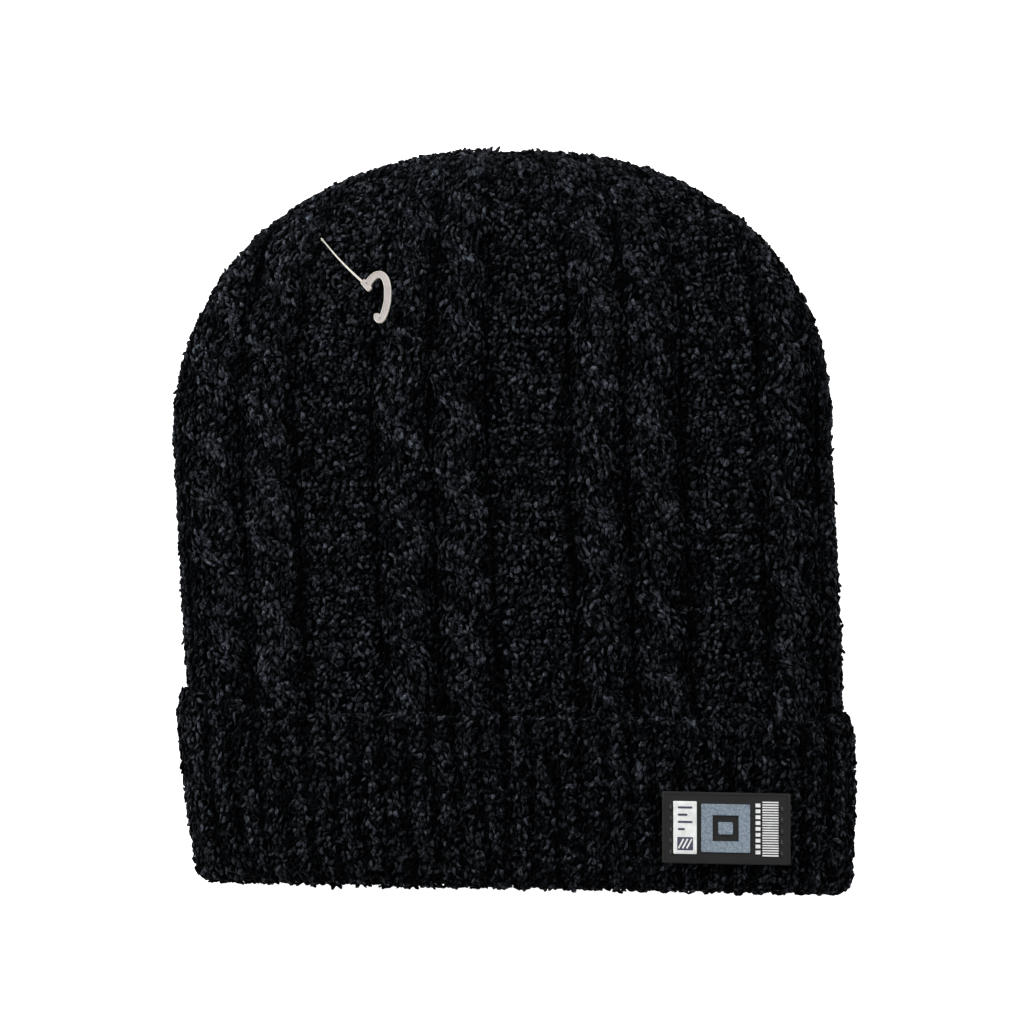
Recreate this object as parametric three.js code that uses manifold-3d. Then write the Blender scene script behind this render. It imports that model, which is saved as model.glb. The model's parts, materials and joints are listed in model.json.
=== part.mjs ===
// A knitted beanie lying flat on its back: the knit tube with its closed crown, the turned-up
// rib cuff, a four-gore lining, a moulded rubber label sewn to the cuff, and the shop's
// hook-shaped tag pin shot through the crown.
// Millimetres. +X to the wearer's left as the front is looked at, +Y towards the crown, +Z up.

import * as THREE from "three";
import { LoftGeometry } from "three/addons/geometries/LoftGeometry.js";
import { mergeVertices } from "three/addons/utils/BufferGeometryUtils.js";
import Module from "manifold-3d";

// ---- Driving dimensions ----------------------------------------------------------------

// Knit tube. Its own Y = 0 is where the straight tube ends and the crown begins to round.
const BODY_HALF_WIDTH = 104.6;
const MOUTH_HALF_WIDTH = 99.7;
const TUBE_LENGTH = 146.3;
const CROWN_RISE = 89.6;
const BODY_THICKNESS = 40;
const EDGE_HEIGHT = 18;
const KNIT_WALL = 5;
const TUBE_LEAN = 0.0535;
const LEAN_START = 8;
const MOUTH_TILT = 0.021;

// Roundness of the flattened hat: 2 is an ellipse, and more is squarer.
const TOP_ROUNDNESS = 3.4;
const BACK_ROUNDNESS = 4;
const OUTLINE_ROUNDNESS_LEFT = 2.07;
const OUTLINE_ROUNDNESS_RIGHT = 2.4;
const PROFILE_ROUNDNESS = 3.2;
const BACK_SQUASH = 1.2;

// Turned-up cuff.
const CUFF_HEIGHT = 55.5;
const CUFF_WALL = 5;
const FOLD_WALL = 5;
const CUFF_RIM_ROUND = 1.3;
const LIFT_RUN = 18;

// Lining of four gores, and the stitching round its lower edge.
const LINING_WALL = 2.5;
const LINING_EDGE_RISE = 3;
const EDGE_STITCH_RADIUS = 0.8;
const GORE_SEAM_GAP = 0.5;
const GORE_TOP_SHARE = 0.985;
const NARROWEST_TRIM = 0.4;

// Yarn that draws the crown closed, tied off between the knit and the lining.
const GATHER_RING_RADIUS = 3.2;
const GATHER_YARN_RADIUS = 1.1;
const CROWN_BLUNTNESS = 1;

// Rubber label on the cuff, with its raised moulded areas.
const LABEL_WIDTH = 40.4;
const LABEL_HEIGHT = 22.8;
const LABEL_THICKNESS = 1.6;
const LABEL_CORNER = 1.5;
const LABEL_ACROSS = 64.6;
const LABEL_RISE = 20.6;
const RELIEF_HEIGHT = 0.7;
const RELIEF_CORNER = 0.6;
const PANEL_WIDTH = 7;
const PANEL_INSET = 3.4;
const PANEL_MARGIN = 3.1;
const EMBLEM_GAP_LEFT = 1.6;
const EMBLEM_GAP_RIGHT = 4.4;
const EMBLEM_MARGIN = 4;
const LADDER_WIDTH = 5;
const LADDER_INSET = 4.1;
const LADDER_MARGIN = 2.8;
const LADDER_RUNGS = 12;

// Sewing thread through the label's ends.
const THREAD_RADIUS = 0.3;
const STITCHES = 5;
const STITCH_INSET = 2.5;
const STITCH_MARGIN = 2.4;

// Tag pin: a cross bar inside the hat, a stem through both layers, and the hook outside.
const PIN_FROM_SIDE = 47.6;
const PIN_FROM_TOP = 29;
const PIN_HEADING = -47;
const STEM_RADIUS = 0.6;
const CROSS_BAR_LENGTH = 9;
const CROSS_BAR_RADIUS = 0.9;
const STEM_LENGTH = 20.5;
const HOOK_WIDTH = 2.2;
const HOOK_THICKNESS = 1.6;
const HOOK_KNOB_RADIUS = 1.7;
// The hook's middle line beyond the stem's end: along the stem, and to its left.
const HOOK_PATH = [
  [0.6, 0.6], [0.3, 3.2], [1.4, 5.2], [4.1, 5.6], [6.9, 3.9], [9.6, 1.4], [11.2, -1.4],
  [11, -3.1], [8.7, -2.9],
];

// Clearances.
const GAP = 0.3;
const LINING_GAP = 0.4;
const PIN_CLEARANCE = 0.3;

// Fineness of the meshes.
const QUARTER_SIDES = 10;
const CROWN_STEPS = 11;
const CUFF_STEPS = 4;
const LIFT_STEPS = 3;
const TUBE_STEPS = 3;
const THREAD_SIDES = 6;
const PIN_SIDES = 12;
const DEPTH_STEP = 0.05;

// ---- The flattened hat's own surface ---------------------------------------------------

const CUFF_OFFSET = GAP + CUFF_WALL;
const LINING_OFFSET = KNIT_WALL + LINING_GAP;
const GATHER_ROOM = 2 * GATHER_YARN_RADIUS + 2 * GAP + CROWN_BLUNTNESS;
const CUFF_RIM = -TUBE_LENGTH + CUFF_HEIGHT;
const FOLD_TOP = -TUBE_LENGTH + FOLD_WALL;

// One minus a power, rooted: the rise of a rounded outline at a share of its half width.
function roundOff(share, roundness) {
  return Math.pow(Math.max(0, 1 - Math.pow(Math.abs(share), roundness)), 1 / roundness);
}

// Even steps from one value to another, both included.
function levels(from, to, steps) {
  return Array.from({ length: steps + 1 }, (_, i) => from + ((to - from) * i) / steps);
}

// The tube's centre line drifts to one side below the crown.
function centreAcross(y) {
  const down = Math.max(0, -y);
  return (TUBE_LEAN * down * down) / (down + LEAN_START);
}

function tubeHalfWidth(y) {
  const share = Math.max(0, -y) / TUBE_LENGTH;
  return BODY_HALF_WIDTH - (BODY_HALF_WIDTH - MOUTH_HALF_WIDTH) * Math.pow(share, 4);
}

// The back of the tube rises above the cuff's back, which lies on the table.
function backHeight(y) {
  const start = CUFF_RIM + GAP;
  return CUFF_OFFSET * (1 - THREE.MathUtils.smoothstep(y, start, start + LIFT_RUN));
}

// The mouth is cut a little aslant, and the slant fades out at the cuff's rim.
function mouthSlant(x, y) {
  const share = (CUFF_RIM - y) / CUFF_HEIGHT;
  return MOUTH_TILT * x * THREE.MathUtils.clamp(share, 0, 1);
}

// Points round the flattened section, counterclockwise from its right edge, as shares of its
// half width and of its height above (up > 0) or depth below (up < 0) the side edges.
function flattenedSection() {
  const top = evenQuarter(TOP_ROUNDNESS);
  const back = evenQuarter(BACK_ROUNDNESS);
  return [
    ...top.slice(0, -1),
    ...top.slice(1).reverse().map(({ across, up }) => ({ across: -across, up })),
    ...back.slice(0, -1).map(({ across, up }) => ({ across: -across, up: -up })),
    ...back.slice(1).reverse().map(({ across, up }) => ({ across, up: -up })),
  ];
}

// A quarter of a rounded outline in even steps of its length, from the edge to the middle.
function evenQuarter(roundness) {
  const steps = 720;
  const fine = levels(0, Math.PI / 2, steps).map((turn) => ({
    across: Math.pow(Math.abs(Math.cos(turn)), 2 / roundness),
    up: Math.pow(Math.sin(turn), 2 / roundness),
  }));
  const length = [0];
  for (let i = 1; i <= steps; i++) {
    const wide = (fine[i].across - fine[i - 1].across) * BODY_HALF_WIDTH;
    const high = (fine[i].up - fine[i - 1].up) * EDGE_HEIGHT;
    length.push(length[i - 1] + Math.hypot(wide, high));
  }
  return levels(0, length[steps], QUARTER_SIDES).map(
    (wanted) => fine[length.findIndex((reached) => reached >= wanted - 1e-9)],
  );
}

// A place on the tube at a height y below the crown, a depth inwards from the knit's face.
function tubePoint(spot, y, depth) {
  const half = tubeHalfWidth(y) - depth;
  const x = centreAcross(y) + half * spot.across;
  const floor = backHeight(y) + depth;
  const z = sectionHeight(spot.up, 1, floor, depth);
  return new THREE.Vector3(x, y - mouthSlant(x, y), z);
}

// A place on the crown: turn runs from 0 at the tube to a quarter circle at the very top.
function crownPoint(spot, turn, depth, room) {
  const climb = Math.pow(Math.sin(turn), 2 / OUTLINE_ROUNDNESS_LEFT);
  const roundness = spot.across < 0 ? OUTLINE_ROUNDNESS_LEFT : OUTLINE_ROUNDNESS_RIGHT;
  const half = (BODY_HALF_WIDTH - depth) * roundOff(climb, roundness);
  const y = (CROWN_RISE - depth - room) * climb;
  const z = sectionHeight(spot.up, roundOff(climb, PROFILE_ROUNDNESS), depth, depth);
  return new THREE.Vector3(half * spot.across, y, z);
}

function sectionHeight(up, share, floor, depth) {
  if (up >= 0) return EDGE_HEIGHT + (BODY_THICKNESS - EDGE_HEIGHT - depth) * share * up;
  const squashed = EDGE_HEIGHT + (EDGE_HEIGHT - floor + BACK_SQUASH) * share * up;
  return Math.max(floor, squashed);
}

// The heights at which the knit, the lining and the cuff all have a ring, so that their
// facets run side by side.
function tubeLevels() {
  const liftEnd = CUFF_RIM + GAP + LIFT_RUN;
  return [
    ...levels(FOLD_TOP, CUFF_RIM - CUFF_RIM_ROUND, CUFF_STEPS),
    ...levels(CUFF_RIM + GAP, liftEnd, LIFT_STEPS),
    ...levels(liftEnd, 0, TUBE_STEPS).slice(1, -1),
  ];
}

// Rings from the tube's end at startY to the top of the crown. They run clockwise as seen
// from the crown, so that a loft of them towards the crown faces out.
function shellRings(section, startY, depth, room, topTurn) {
  const rings = [];
  const clockwise = section.slice().reverse();
  for (const y of [startY, ...tubeLevels().slice(1)]) {
    rings.push(clockwise.map((spot) => tubePoint(spot, y, depth)));
  }
  for (let i = 0; i <= CROWN_STEPS; i++) {
    const turn = (i / CROWN_STEPS) * topTurn;
    rings.push(clockwise.map((spot) => crownPoint(spot, turn, depth, room)));
  }
  return rings;
}

// The top face of the tube or of the cuff over a place in plan, and its outward direction.
function faceHeight(x, y, depth, room = 0) {
  const climb = Math.max(0, y) / (CROWN_RISE - depth - room);
  const roundness = x < centreAcross(y) ? OUTLINE_ROUNDNESS_LEFT : OUTLINE_ROUNDNESS_RIGHT;
  const half = (tubeHalfWidth(y) - depth) * roundOff(climb, roundness);
  const rise = (BODY_THICKNESS - EDGE_HEIGHT - depth) * roundOff(climb, PROFILE_ROUNDNESS);
  return EDGE_HEIGHT + rise * roundOff((x - centreAcross(y)) / half, TOP_ROUNDNESS);
}

function facePoint(x, y, depth) {
  return new THREE.Vector3(x, y, faceHeight(x, y, depth));
}

function faceNormal(x, y, depth) {
  const step = 0.5;
  const alongX = facePoint(x + step, y, depth).sub(facePoint(x - step, y, depth));
  const alongY = facePoint(x, y + step, depth).sub(facePoint(x, y - step, depth));
  return alongX.cross(alongY).normalize();
}

// ---- Solids ----------------------------------------------------------------------------

const wasm = await Module();
wasm.setup();

function toSolid(geometry) {
  const bare = new THREE.BufferGeometry().setIndex(geometry.index);
  bare.setAttribute("position", geometry.getAttribute("position"));
  const merged = mergeVertices(bare, 1e-3);
  const vertProperties = new Float32Array(merged.attributes.position.array);
  const triVerts = new Uint32Array(merged.index.array);
  return new wasm.Manifold(new wasm.Mesh({ numProp: 3, vertProperties, triVerts }));
}

function toGeometry(solid) {
  const mesh = solid.getMesh();
  const position = new THREE.BufferAttribute(mesh.vertProperties, 3);
  const geometry = new THREE.BufferGeometry().setAttribute("position", position);
  return geometry.setIndex(new THREE.BufferAttribute(mesh.triVerts, 1));
}

function cut(geometry, tools) {
  return toGeometry(tools.reduce((solid, tool) => solid.subtract(toSolid(tool)), toSolid(geometry)));
}

function join(geometries) {
  return toGeometry(geometries.map(toSolid).reduce((whole, next) => whole.add(next)));
}

function piece(name, geometry, color, roughness) {
  geometry.computeVertexNormals();
  const material = new THREE.MeshStandardMaterial({ color, roughness, metalness: 0 });
  const mesh = new THREE.Mesh(geometry, material);
  mesh.name = name;
  return mesh;
}

// ---- Tag pin ---------------------------------------------------------------------------
// Its frame: the origin where the stem leaves the knit, +X along the outer stem, +Z outwards.

const PIN_X = -BODY_HALF_WIDTH + PIN_FROM_SIDE;
const PIN_Y = CROWN_RISE - PIN_FROM_TOP;

function pinFrame() {
  const normal = faceNormal(PIN_X, PIN_Y, 0);
  const heading = THREE.MathUtils.degToRad(PIN_HEADING);
  const along = new THREE.Vector3(Math.cos(heading), Math.sin(heading), 0);
  along.addScaledVector(normal, -along.dot(normal)).normalize();
  const left = normal.clone().cross(along);
  const frame = new THREE.Matrix4().makeBasis(along, left, normal);
  return frame.setPosition(facePoint(PIN_X, PIN_Y, 0));
}

// How far below the pin frame's origin the lining's inner face lies, at a place in that frame.
function liningDepth(along, left) {
  const frame = pinFrame();
  const inner = LINING_OFFSET + LINING_WALL;
  let depth = 0;
  let spot = new THREE.Vector3(along, left, 0).applyMatrix4(frame);
  while (spot.z > faceHeight(spot.x, spot.y, inner, GATHER_ROOM)) {
    depth += DEPTH_STEP;
    spot = new THREE.Vector3(along, left, -depth).applyMatrix4(frame);
  }
  return depth;
}

function rod(radius, from, to, sides) {
  const span = new THREE.Vector3().subVectors(to, from);
  const geometry = new THREE.CylinderGeometry(radius, radius, span.length(), sides);
  const turn = new THREE.Quaternion().setFromUnitVectors(
    new THREE.Vector3(0, 1, 0), span.clone().normalize(),
  );
  geometry.applyQuaternion(turn);
  const middle = new THREE.Vector3().addVectors(from, to).multiplyScalar(0.5);
  return geometry.translate(middle.x, middle.y, middle.z);
}

const STEM_HEIGHT = HOOK_KNOB_RADIUS + GAP;

// The bar lies just clear of the lining whichever way the pin is swung.
function anchorBar() {
  const half = CROSS_BAR_LENGTH / 2;
  const round = levels(0, 2 * Math.PI, PIN_SIDES);
  const depths = round.map((turn) => liningDepth(half * Math.cos(turn), half * Math.sin(turn)));
  const barHeight = -(Math.max(...depths) + GAP + CROSS_BAR_RADIUS);
  const barEnds = [new THREE.Vector3(0, -half, barHeight), new THREE.Vector3(0, half, barHeight)];
  const stemTop = STEM_HEIGHT - STEM_RADIUS - GAP;
  const stemEnds = [new THREE.Vector3(0, 0, barHeight), new THREE.Vector3(0, 0, stemTop)];
  return join([
    rod(CROSS_BAR_RADIUS, ...barEnds, PIN_SIDES),
    rod(STEM_RADIUS, ...stemEnds, PIN_SIDES),
  ]);
}

function hook() {
  const stemStart = new THREE.Vector3(-STEM_RADIUS, 0, STEM_HEIGHT);
  const stemEnd = new THREE.Vector3(STEM_LENGTH, 0, STEM_HEIGHT);
  const stem = rod(STEM_RADIUS, stemStart, stemEnd, PIN_SIDES);
  const knob = new THREE.SphereGeometry(HOOK_KNOB_RADIUS, 14, 8);
  knob.translate(stemEnd.x, 0, STEM_HEIGHT);
  const points = HOOK_PATH.map(([along, left]) => new THREE.Vector3(
    STEM_LENGTH + along, left, STEM_HEIGHT,
  ));
  const path = new THREE.CatmullRomCurve3(points, false, "centripetal");
  const section = new THREE.Shape();
  section.absellipse(0, 0, HOOK_THICKNESS / 2, HOOK_WIDTH / 2, 0, 2 * Math.PI);
  const band = new THREE.ExtrudeGeometry(section, { steps: 24, curveSegments: 5, extrudePath: path });
  return join([stem, knob, band]);
}

function pinHole() {
  const depth = 2 * liningDepth(0, 0);
  const ends = [new THREE.Vector3(0, 0, -depth), new THREE.Vector3(0, 0, depth)];
  return rod(STEM_RADIUS + PIN_CLEARANCE, ...ends, PIN_SIDES).applyMatrix4(pinFrame());
}

// ---- Knit, cuff and lining -------------------------------------------------------------

const SECTION = flattenedSection();
const FULL_TURN = Math.PI / 2;

function knitBody() {
  const startY = FOLD_TOP + GAP;
  const outside = shellRings(SECTION, startY, 0, 0, FULL_TURN);
  const inside = shellRings(SECTION, startY, KNIT_WALL, 0, FULL_TURN);
  return cut(new LoftGeometry([...inside.reverse(), ...outside]), [pinHole()]);
}

// The strip that is turned up outside and the round fold that joins it to the tube's end.
function knitCuff() {
  const strip = levels(FOLD_TOP, CUFF_RIM - CUFF_RIM_ROUND, CUFF_STEPS);
  const profile = [
    ...strip.map((y) => [-CUFF_OFFSET, y]),
    [-CUFF_OFFSET + CUFF_RIM_ROUND, CUFF_RIM],
    [-GAP - CUFF_RIM_ROUND, CUFF_RIM],
    ...strip.reverse().map((y) => [-GAP, y]),
  ];
  const foldMiddle = (KNIT_WALL - CUFF_OFFSET) / 2;
  const foldHalf = (KNIT_WALL + CUFF_OFFSET) / 2;
  const foldSteps = 6;
  for (let i = 0; i <= foldSteps; i++) {
    const turn = (i / foldSteps) * Math.PI;
    profile.push([foldMiddle + foldHalf * Math.cos(turn), FOLD_TOP - FOLD_WALL * Math.sin(turn)]);
  }
  const rings = profile.map(([depth, y]) => SECTION.map((spot) => tubePoint(spot, y, depth)).reverse());
  return new LoftGeometry(rings);
}

// One quarter of the lining, cut from the mouth to the top of the crown.
function liningGore(quarter) {
  const startY = -TUBE_LENGTH + LINING_EDGE_RISE;
  const first = quarter * QUARTER_SIDES;
  const spots = [...SECTION, ...SECTION].slice(first, first + QUARTER_SIDES + 1);
  const nearTop = FULL_TURN * GORE_TOP_SHARE;
  const outside = shellRings(spots, startY, LINING_OFFSET, GATHER_ROOM, nearTop);
  const inside = shellRings(spots, startY, LINING_OFFSET + LINING_WALL, GATHER_ROOM, nearTop);
  const rings = outside.map((ring, i) => goreRing(ring, inside[i]));
  return new LoftGeometry(rings, { capStart: true, capEnd: true });
}

// The gore's closed outline at one height, drawn in by half the seam's gap at both ends, but
// by no more than a share of the first step where the gore narrows to its point.
function goreRing(outside, inside) {
  const trim = (line) => {
    const points = line.map((p) => p.clone());
    const last = points.length - 1;
    const ends = [[0, 1], [last, last - 1]];
    for (const [end, next] of ends) {
      const span = points[end].distanceTo(line[next]);
      points[end].lerp(line[next], Math.min(NARROWEST_TRIM, GORE_SEAM_GAP / 2 / span));
    }
    return points;
  };
  return [...trim(outside), ...trim(inside).reverse()];
}

function ringTube(middle, radius, sides) {
  const rings = [];
  for (let i = 0; i < sides; i++) {
    const turn = (i / sides) * 2 * Math.PI;
    rings.push(middle(radius * Math.cos(turn), radius * Math.sin(turn)));
  }
  return new LoftGeometry([...rings, rings[0]]);
}

function liningEdgeStitch() {
  const depth = LINING_OFFSET + LINING_WALL / 2;
  const y = -TUBE_LENGTH + LINING_EDGE_RISE - GAP - EDGE_STITCH_RADIUS;
  return ringTube(
    (inward, up) => SECTION.map((spot) => tubePoint(spot, y + up, depth - inward)).reverse(),
    EDGE_STITCH_RADIUS, 6,
  );
}

function crownGatherYarn() {
  const tube = new THREE.TorusGeometry(GATHER_RING_RADIUS, GATHER_YARN_RADIUS, 8, 16);
  tube.rotateX(Math.PI / 2);
  return tube.translate(0, CROWN_RISE - KNIT_WALL - GAP - GATHER_YARN_RADIUS - CROWN_BLUNTNESS, EDGE_HEIGHT);
}

// ---- Label -----------------------------------------------------------------------------
// Its frame: right and up from the label's middle, and out from the cuff's face.

const LABEL_STANDOFF = 2 * THREAD_RADIUS + 2 * GAP;
const LABEL_Y = -TUBE_LENGTH + LABEL_RISE;
const PANEL_ACROSS = -LABEL_WIDTH / 2 + PANEL_INSET + PANEL_WIDTH / 2;
const LADDER_ACROSS = LABEL_WIDTH / 2 - LADDER_INSET - LADDER_WIDTH / 2;
const LADDER_LENGTH = LABEL_HEIGHT - 2 * LADDER_MARGIN;
const STITCH_LENGTH = (LABEL_HEIGHT - 2 * STITCH_MARGIN) / (2 * STITCHES);

function onCuff(right, up, out) {
  const x = centreAcross(LABEL_Y) + LABEL_ACROSS + right;
  const y = LABEL_Y + up - mouthSlant(x, LABEL_Y);
  const depth = -CUFF_OFFSET;
  return facePoint(x, y, depth).addScaledVector(faceNormal(x, LABEL_Y, depth), out);
}

// A plate bent to the cuff: slices across its width, with rounded corners in plan.
function bentPlate(width, height, low, high, corner, middle, slices) {
  const rings = [];
  for (let i = 0; i <= slices; i++) {
    const right = cornerStep(i / slices, width, corner);
    const inset = Math.max(0, Math.abs(right) - (width / 2 - corner));
    const half = height / 2 - corner + Math.sqrt(Math.max(0, corner * corner - inset * inset));
    const ring = [[-half, low], [half, low], [half, high], [-half, high]];
    rings.push(ring.map(([up, out]) => onCuff(middle + right, up, out)));
  }
  return new LoftGeometry(rings, { capStart: true, capEnd: true });
}

// Slices crowd towards the two ends, where the corners turn.
function cornerStep(share, width, corner) {
  const even = (share - 0.5) * width;
  const bunched = Math.sin((share - 0.5) * Math.PI) * (width / 2);
  return corner > 0 ? bunched : even;
}

// The thread's corners from one end of its row to the other: up, along, down, along.
function stitchPoints(end) {
  const right = end * (LABEL_WIDTH / 2 - STITCH_INSET);
  const under = LABEL_STANDOFF / 2;
  const over = LABEL_STANDOFF + LABEL_THICKNESS + THREAD_RADIUS + GAP / 2;
  const points = [];
  for (let i = 0; i <= STITCHES; i++) {
    const up = (2 * i - STITCHES) * STITCH_LENGTH;
    if (i > 0) points.push(onCuff(right, up, over), onCuff(right, up, under));
    if (i < STITCHES) {
      points.push(onCuff(right, up + STITCH_LENGTH, under), onCuff(right, up + STITCH_LENGTH, over));
    }
  }
  return points;
}

// A row of tight stitches: one thread in a square wave, with mitred corners.
function labelStitch(end) {
  const points = stitchPoints(end);
  const side = faceNormal(points[0].x, LABEL_Y, -CUFF_OFFSET).cross(new THREE.Vector3(0, 1, 0));
  const directions = points.slice(1).map((point, i) => point.clone().sub(points[i]).normalize());
  const rings = points.map((point, i) => {
    const before = directions[Math.max(0, i - 1)].clone().cross(side).normalize();
    const after = directions[Math.min(i, directions.length - 1)].clone().cross(side).normalize();
    const mitre = before.clone().add(after).normalize();
    mitre.divideScalar(mitre.dot(before));
    return Array.from({ length: THREAD_SIDES }, (_, corner) => {
      const turn = (corner / THREAD_SIDES) * 2 * Math.PI;
      const ringPoint = point.clone().addScaledVector(side, THREAD_RADIUS * Math.cos(turn));
      return ringPoint.addScaledVector(mitre, THREAD_RADIUS * Math.sin(turn));
    });
  });
  return new LoftGeometry(rings, { capStart: true, capEnd: true });
}

function needleHoles(end) {
  const points = stitchPoints(end);
  const holes = [];
  for (let i = 1; i < points.length; i++) {
    const flat = points[i].clone().sub(points[i - 1]);
    const outwards = faceNormal(points[i].x, LABEL_Y, -CUFF_OFFSET);
    if (Math.abs(flat.normalize().dot(outwards)) < 0.5) continue;
    const spare = outwards.clone().multiplyScalar(LABEL_THICKNESS);
    const middle = points[i].clone().add(points[i - 1]).multiplyScalar(0.5);
    const from = middle.clone().sub(spare);
    holes.push(rod(THREAD_RADIUS + GAP, from, middle.clone().add(spare), THREAD_SIDES + 2));
  }
  return holes;
}

function label() {
  const low = LABEL_STANDOFF;
  const plate = bentPlate(
    LABEL_WIDTH, LABEL_HEIGHT, low, low + LABEL_THICKNESS, LABEL_CORNER, 0, 14,
  );
  return cut(plate, [...needleHoles(-1), ...needleHoles(1)]);
}

const RELIEF_LOW = LABEL_STANDOFF + LABEL_THICKNESS + GAP;

function labelPanel() {
  return relief(PANEL_ACROSS - PANEL_WIDTH / 2, PANEL_ACROSS + PANEL_WIDTH / 2, PANEL_MARGIN);
}

// The emblem fills the room between the panel and the ladder.
function labelEmblem() {
  const left = PANEL_ACROSS + PANEL_WIDTH / 2 + EMBLEM_GAP_LEFT;
  return relief(left, LADDER_ACROSS - LADDER_WIDTH / 2 - EMBLEM_GAP_RIGHT, EMBLEM_MARGIN);
}

function relief(left, right, margin) {
  const high = RELIEF_LOW + RELIEF_HEIGHT;
  const height = LABEL_HEIGHT - 2 * margin;
  return bentPlate(right - left, height, RELIEF_LOW, high, RELIEF_CORNER, (left + right) / 2, 8);
}

// Rungs of a ladder standing on one thin strip.
function labelLadder() {
  const strip = bentPlate(
    LADDER_WIDTH, LADDER_LENGTH, RELIEF_LOW, RELIEF_LOW + RELIEF_HEIGHT / 2, 0, LADDER_ACROSS, 4,
  );
  const pitch = LADDER_LENGTH / LADDER_RUNGS;
  const rungs = [];
  for (let i = 0; i < LADDER_RUNGS; i++) {
    const up = (i + 0.5) * pitch - LADDER_LENGTH / 2;
    rungs.push(ladderRung(up, pitch / 2));
  }
  return join([strip, ...rungs]);
}

function ladderRung(up, height) {
  const rings = [];
  const slices = 4;
  for (let i = 0; i <= slices; i++) {
    const right = LADDER_ACROSS + (i / slices - 0.5) * (LADDER_WIDTH - GAP);
    const low = RELIEF_LOW + RELIEF_HEIGHT / 4;
    const high = RELIEF_LOW + RELIEF_HEIGHT;
    const ring = [[-1, low], [1, low], [1, high], [-1, high]];
    rings.push(ring.map(([side, out]) => onCuff(right, up + (side * height) / 2, out)));
  }
  return new LoftGeometry(rings, { capStart: true, capEnd: true });
}

// ---- Assembly --------------------------------------------------------------------------

const YARN = "#15171b";
const FLEECE = "#101114";
const RUBBER = "#2a2c2b";
const THREAD = "#0b0b0c";
const CREAM = "#d8d6cf";
const SILVER = "#8fa0ad";
const NYLON = "#d9cfc2";

const hat = new THREE.Group();
hat.add(
  piece("knit_body", knitBody(), YARN, 0.95),
  piece("knit_cuff", knitCuff(), YARN, 0.95),
  piece("crown_gather_yarn", crownGatherYarn(), YARN, 0.9),
);
const GORES = ["lining_front_right", "lining_front_left", "lining_back_left", "lining_back_right"];
GORES.forEach((name, quarter) => {
  const gore = liningGore(quarter);
  hat.add(piece(name, name === "lining_front_left" ? cut(gore, [pinHole()]) : gore, FLEECE, 0.95));
});
hat.add(
  piece("lining_edge_stitch", liningEdgeStitch(), THREAD, 0.8),
  piece("label_patch", label(), RUBBER, 0.6),
  piece("label_panel", labelPanel(), CREAM, 0.5),
  piece("label_emblem", labelEmblem(), SILVER, 0.4),
  piece("label_ladder", labelLadder(), CREAM, 0.5),
  piece("label_stitch_left", labelStitch(-1), THREAD, 0.8),
  piece("label_stitch_right", labelStitch(1), THREAD, 0.8),
);

const tagPin = new THREE.Group();
tagPin.applyMatrix4(pinFrame());
tagPin.add(
  piece("tag_pin_anchor_bar", anchorBar(), NYLON, 0.35),
  piece("tag_pin_hook", hook(), NYLON, 0.35),
);
hat.add(tagPin);

// The part's origin is the middle of the footprint, on the table.
const beanie = new THREE.Group();
beanie.add(hat);
const extent = new THREE.Box3().setFromObject(hat, true);
const middle = extent.getCenter(new THREE.Vector3());
hat.position.set(-middle.x, -middle.y, -extent.min.z);

export default beanie;
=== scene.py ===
import json
import math

import bpy
import numpy as np
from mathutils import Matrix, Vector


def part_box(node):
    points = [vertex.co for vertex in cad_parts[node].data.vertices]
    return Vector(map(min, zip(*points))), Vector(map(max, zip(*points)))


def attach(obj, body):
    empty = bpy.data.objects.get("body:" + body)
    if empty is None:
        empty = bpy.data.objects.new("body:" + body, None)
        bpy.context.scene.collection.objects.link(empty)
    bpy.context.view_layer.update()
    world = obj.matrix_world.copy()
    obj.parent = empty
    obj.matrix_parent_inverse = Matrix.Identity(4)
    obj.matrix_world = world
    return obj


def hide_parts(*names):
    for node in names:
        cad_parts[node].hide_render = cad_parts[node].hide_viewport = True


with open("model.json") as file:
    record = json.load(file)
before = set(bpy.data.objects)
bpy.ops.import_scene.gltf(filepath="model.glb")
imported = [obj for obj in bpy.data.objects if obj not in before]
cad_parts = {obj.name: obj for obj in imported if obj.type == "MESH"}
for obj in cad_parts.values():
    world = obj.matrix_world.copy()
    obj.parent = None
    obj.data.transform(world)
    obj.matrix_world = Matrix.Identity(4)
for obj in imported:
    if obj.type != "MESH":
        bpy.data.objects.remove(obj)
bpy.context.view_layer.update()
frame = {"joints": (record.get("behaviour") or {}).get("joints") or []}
bpy.ops.object.select_all(action="DESELECT")


# ---------------------------------------------------------------------------------------
# Knitted tube, bare. One tube of chunky chenille yarn, knitted to a closed crown and laid
# flat on its back. What shows between the yarn's tufts is the ground of the knit, made
# here as its own thin shell, with the flattened shape that everything else is laid on.
# Its near-black colour is painted shade for the deep gaps between the tufts.

HALF_WIDTH, MOUTH_HALF_WIDTH = 0.1046, 0.0997
TUBE_LENGTH, CROWN_RISE, THICKNESS = 0.1463, 0.0896, 0.040
TUBE_LEAN, LEAN_START, MOUTH_TILT = 0.0535, 0.008, 0.021
TOP_ROUNDNESS, BACK_ROUNDNESS, PROFILE_ROUNDNESS = 3.4, 4.0, 3.2
LEFT_ROUNDNESS, RIGHT_ROUNDNESS = 2.07, 2.30
BACK_SQUASH = 0.0012
KNIT_WALL, CUFF_OFFSET, CUFF_HEIGHT, FOLD_WALL, LIFT_RUN = 0.005, 0.0053, 0.0555, 0.005, 0.018
CROWN_SPAN = 0.118
GROUND_DEPTH, CROWN_GROUND_DEPTH, GROUND_WALL = 0.0037, 0.0019, 0.0007
SIDE_START, SIDE_RUN, SIDE_GROUND_RISE = 0.9, 0.08, 0.85
GATHER_POWER, LEAST_OUTLINE = 0.4, 0.02
QUARTER_STEPS, OUTLINE_STEPS = 400, 4000
GROUND_ROUND, GROUND_ROWS, CROWN_ROWS = 140, 36, 50

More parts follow.
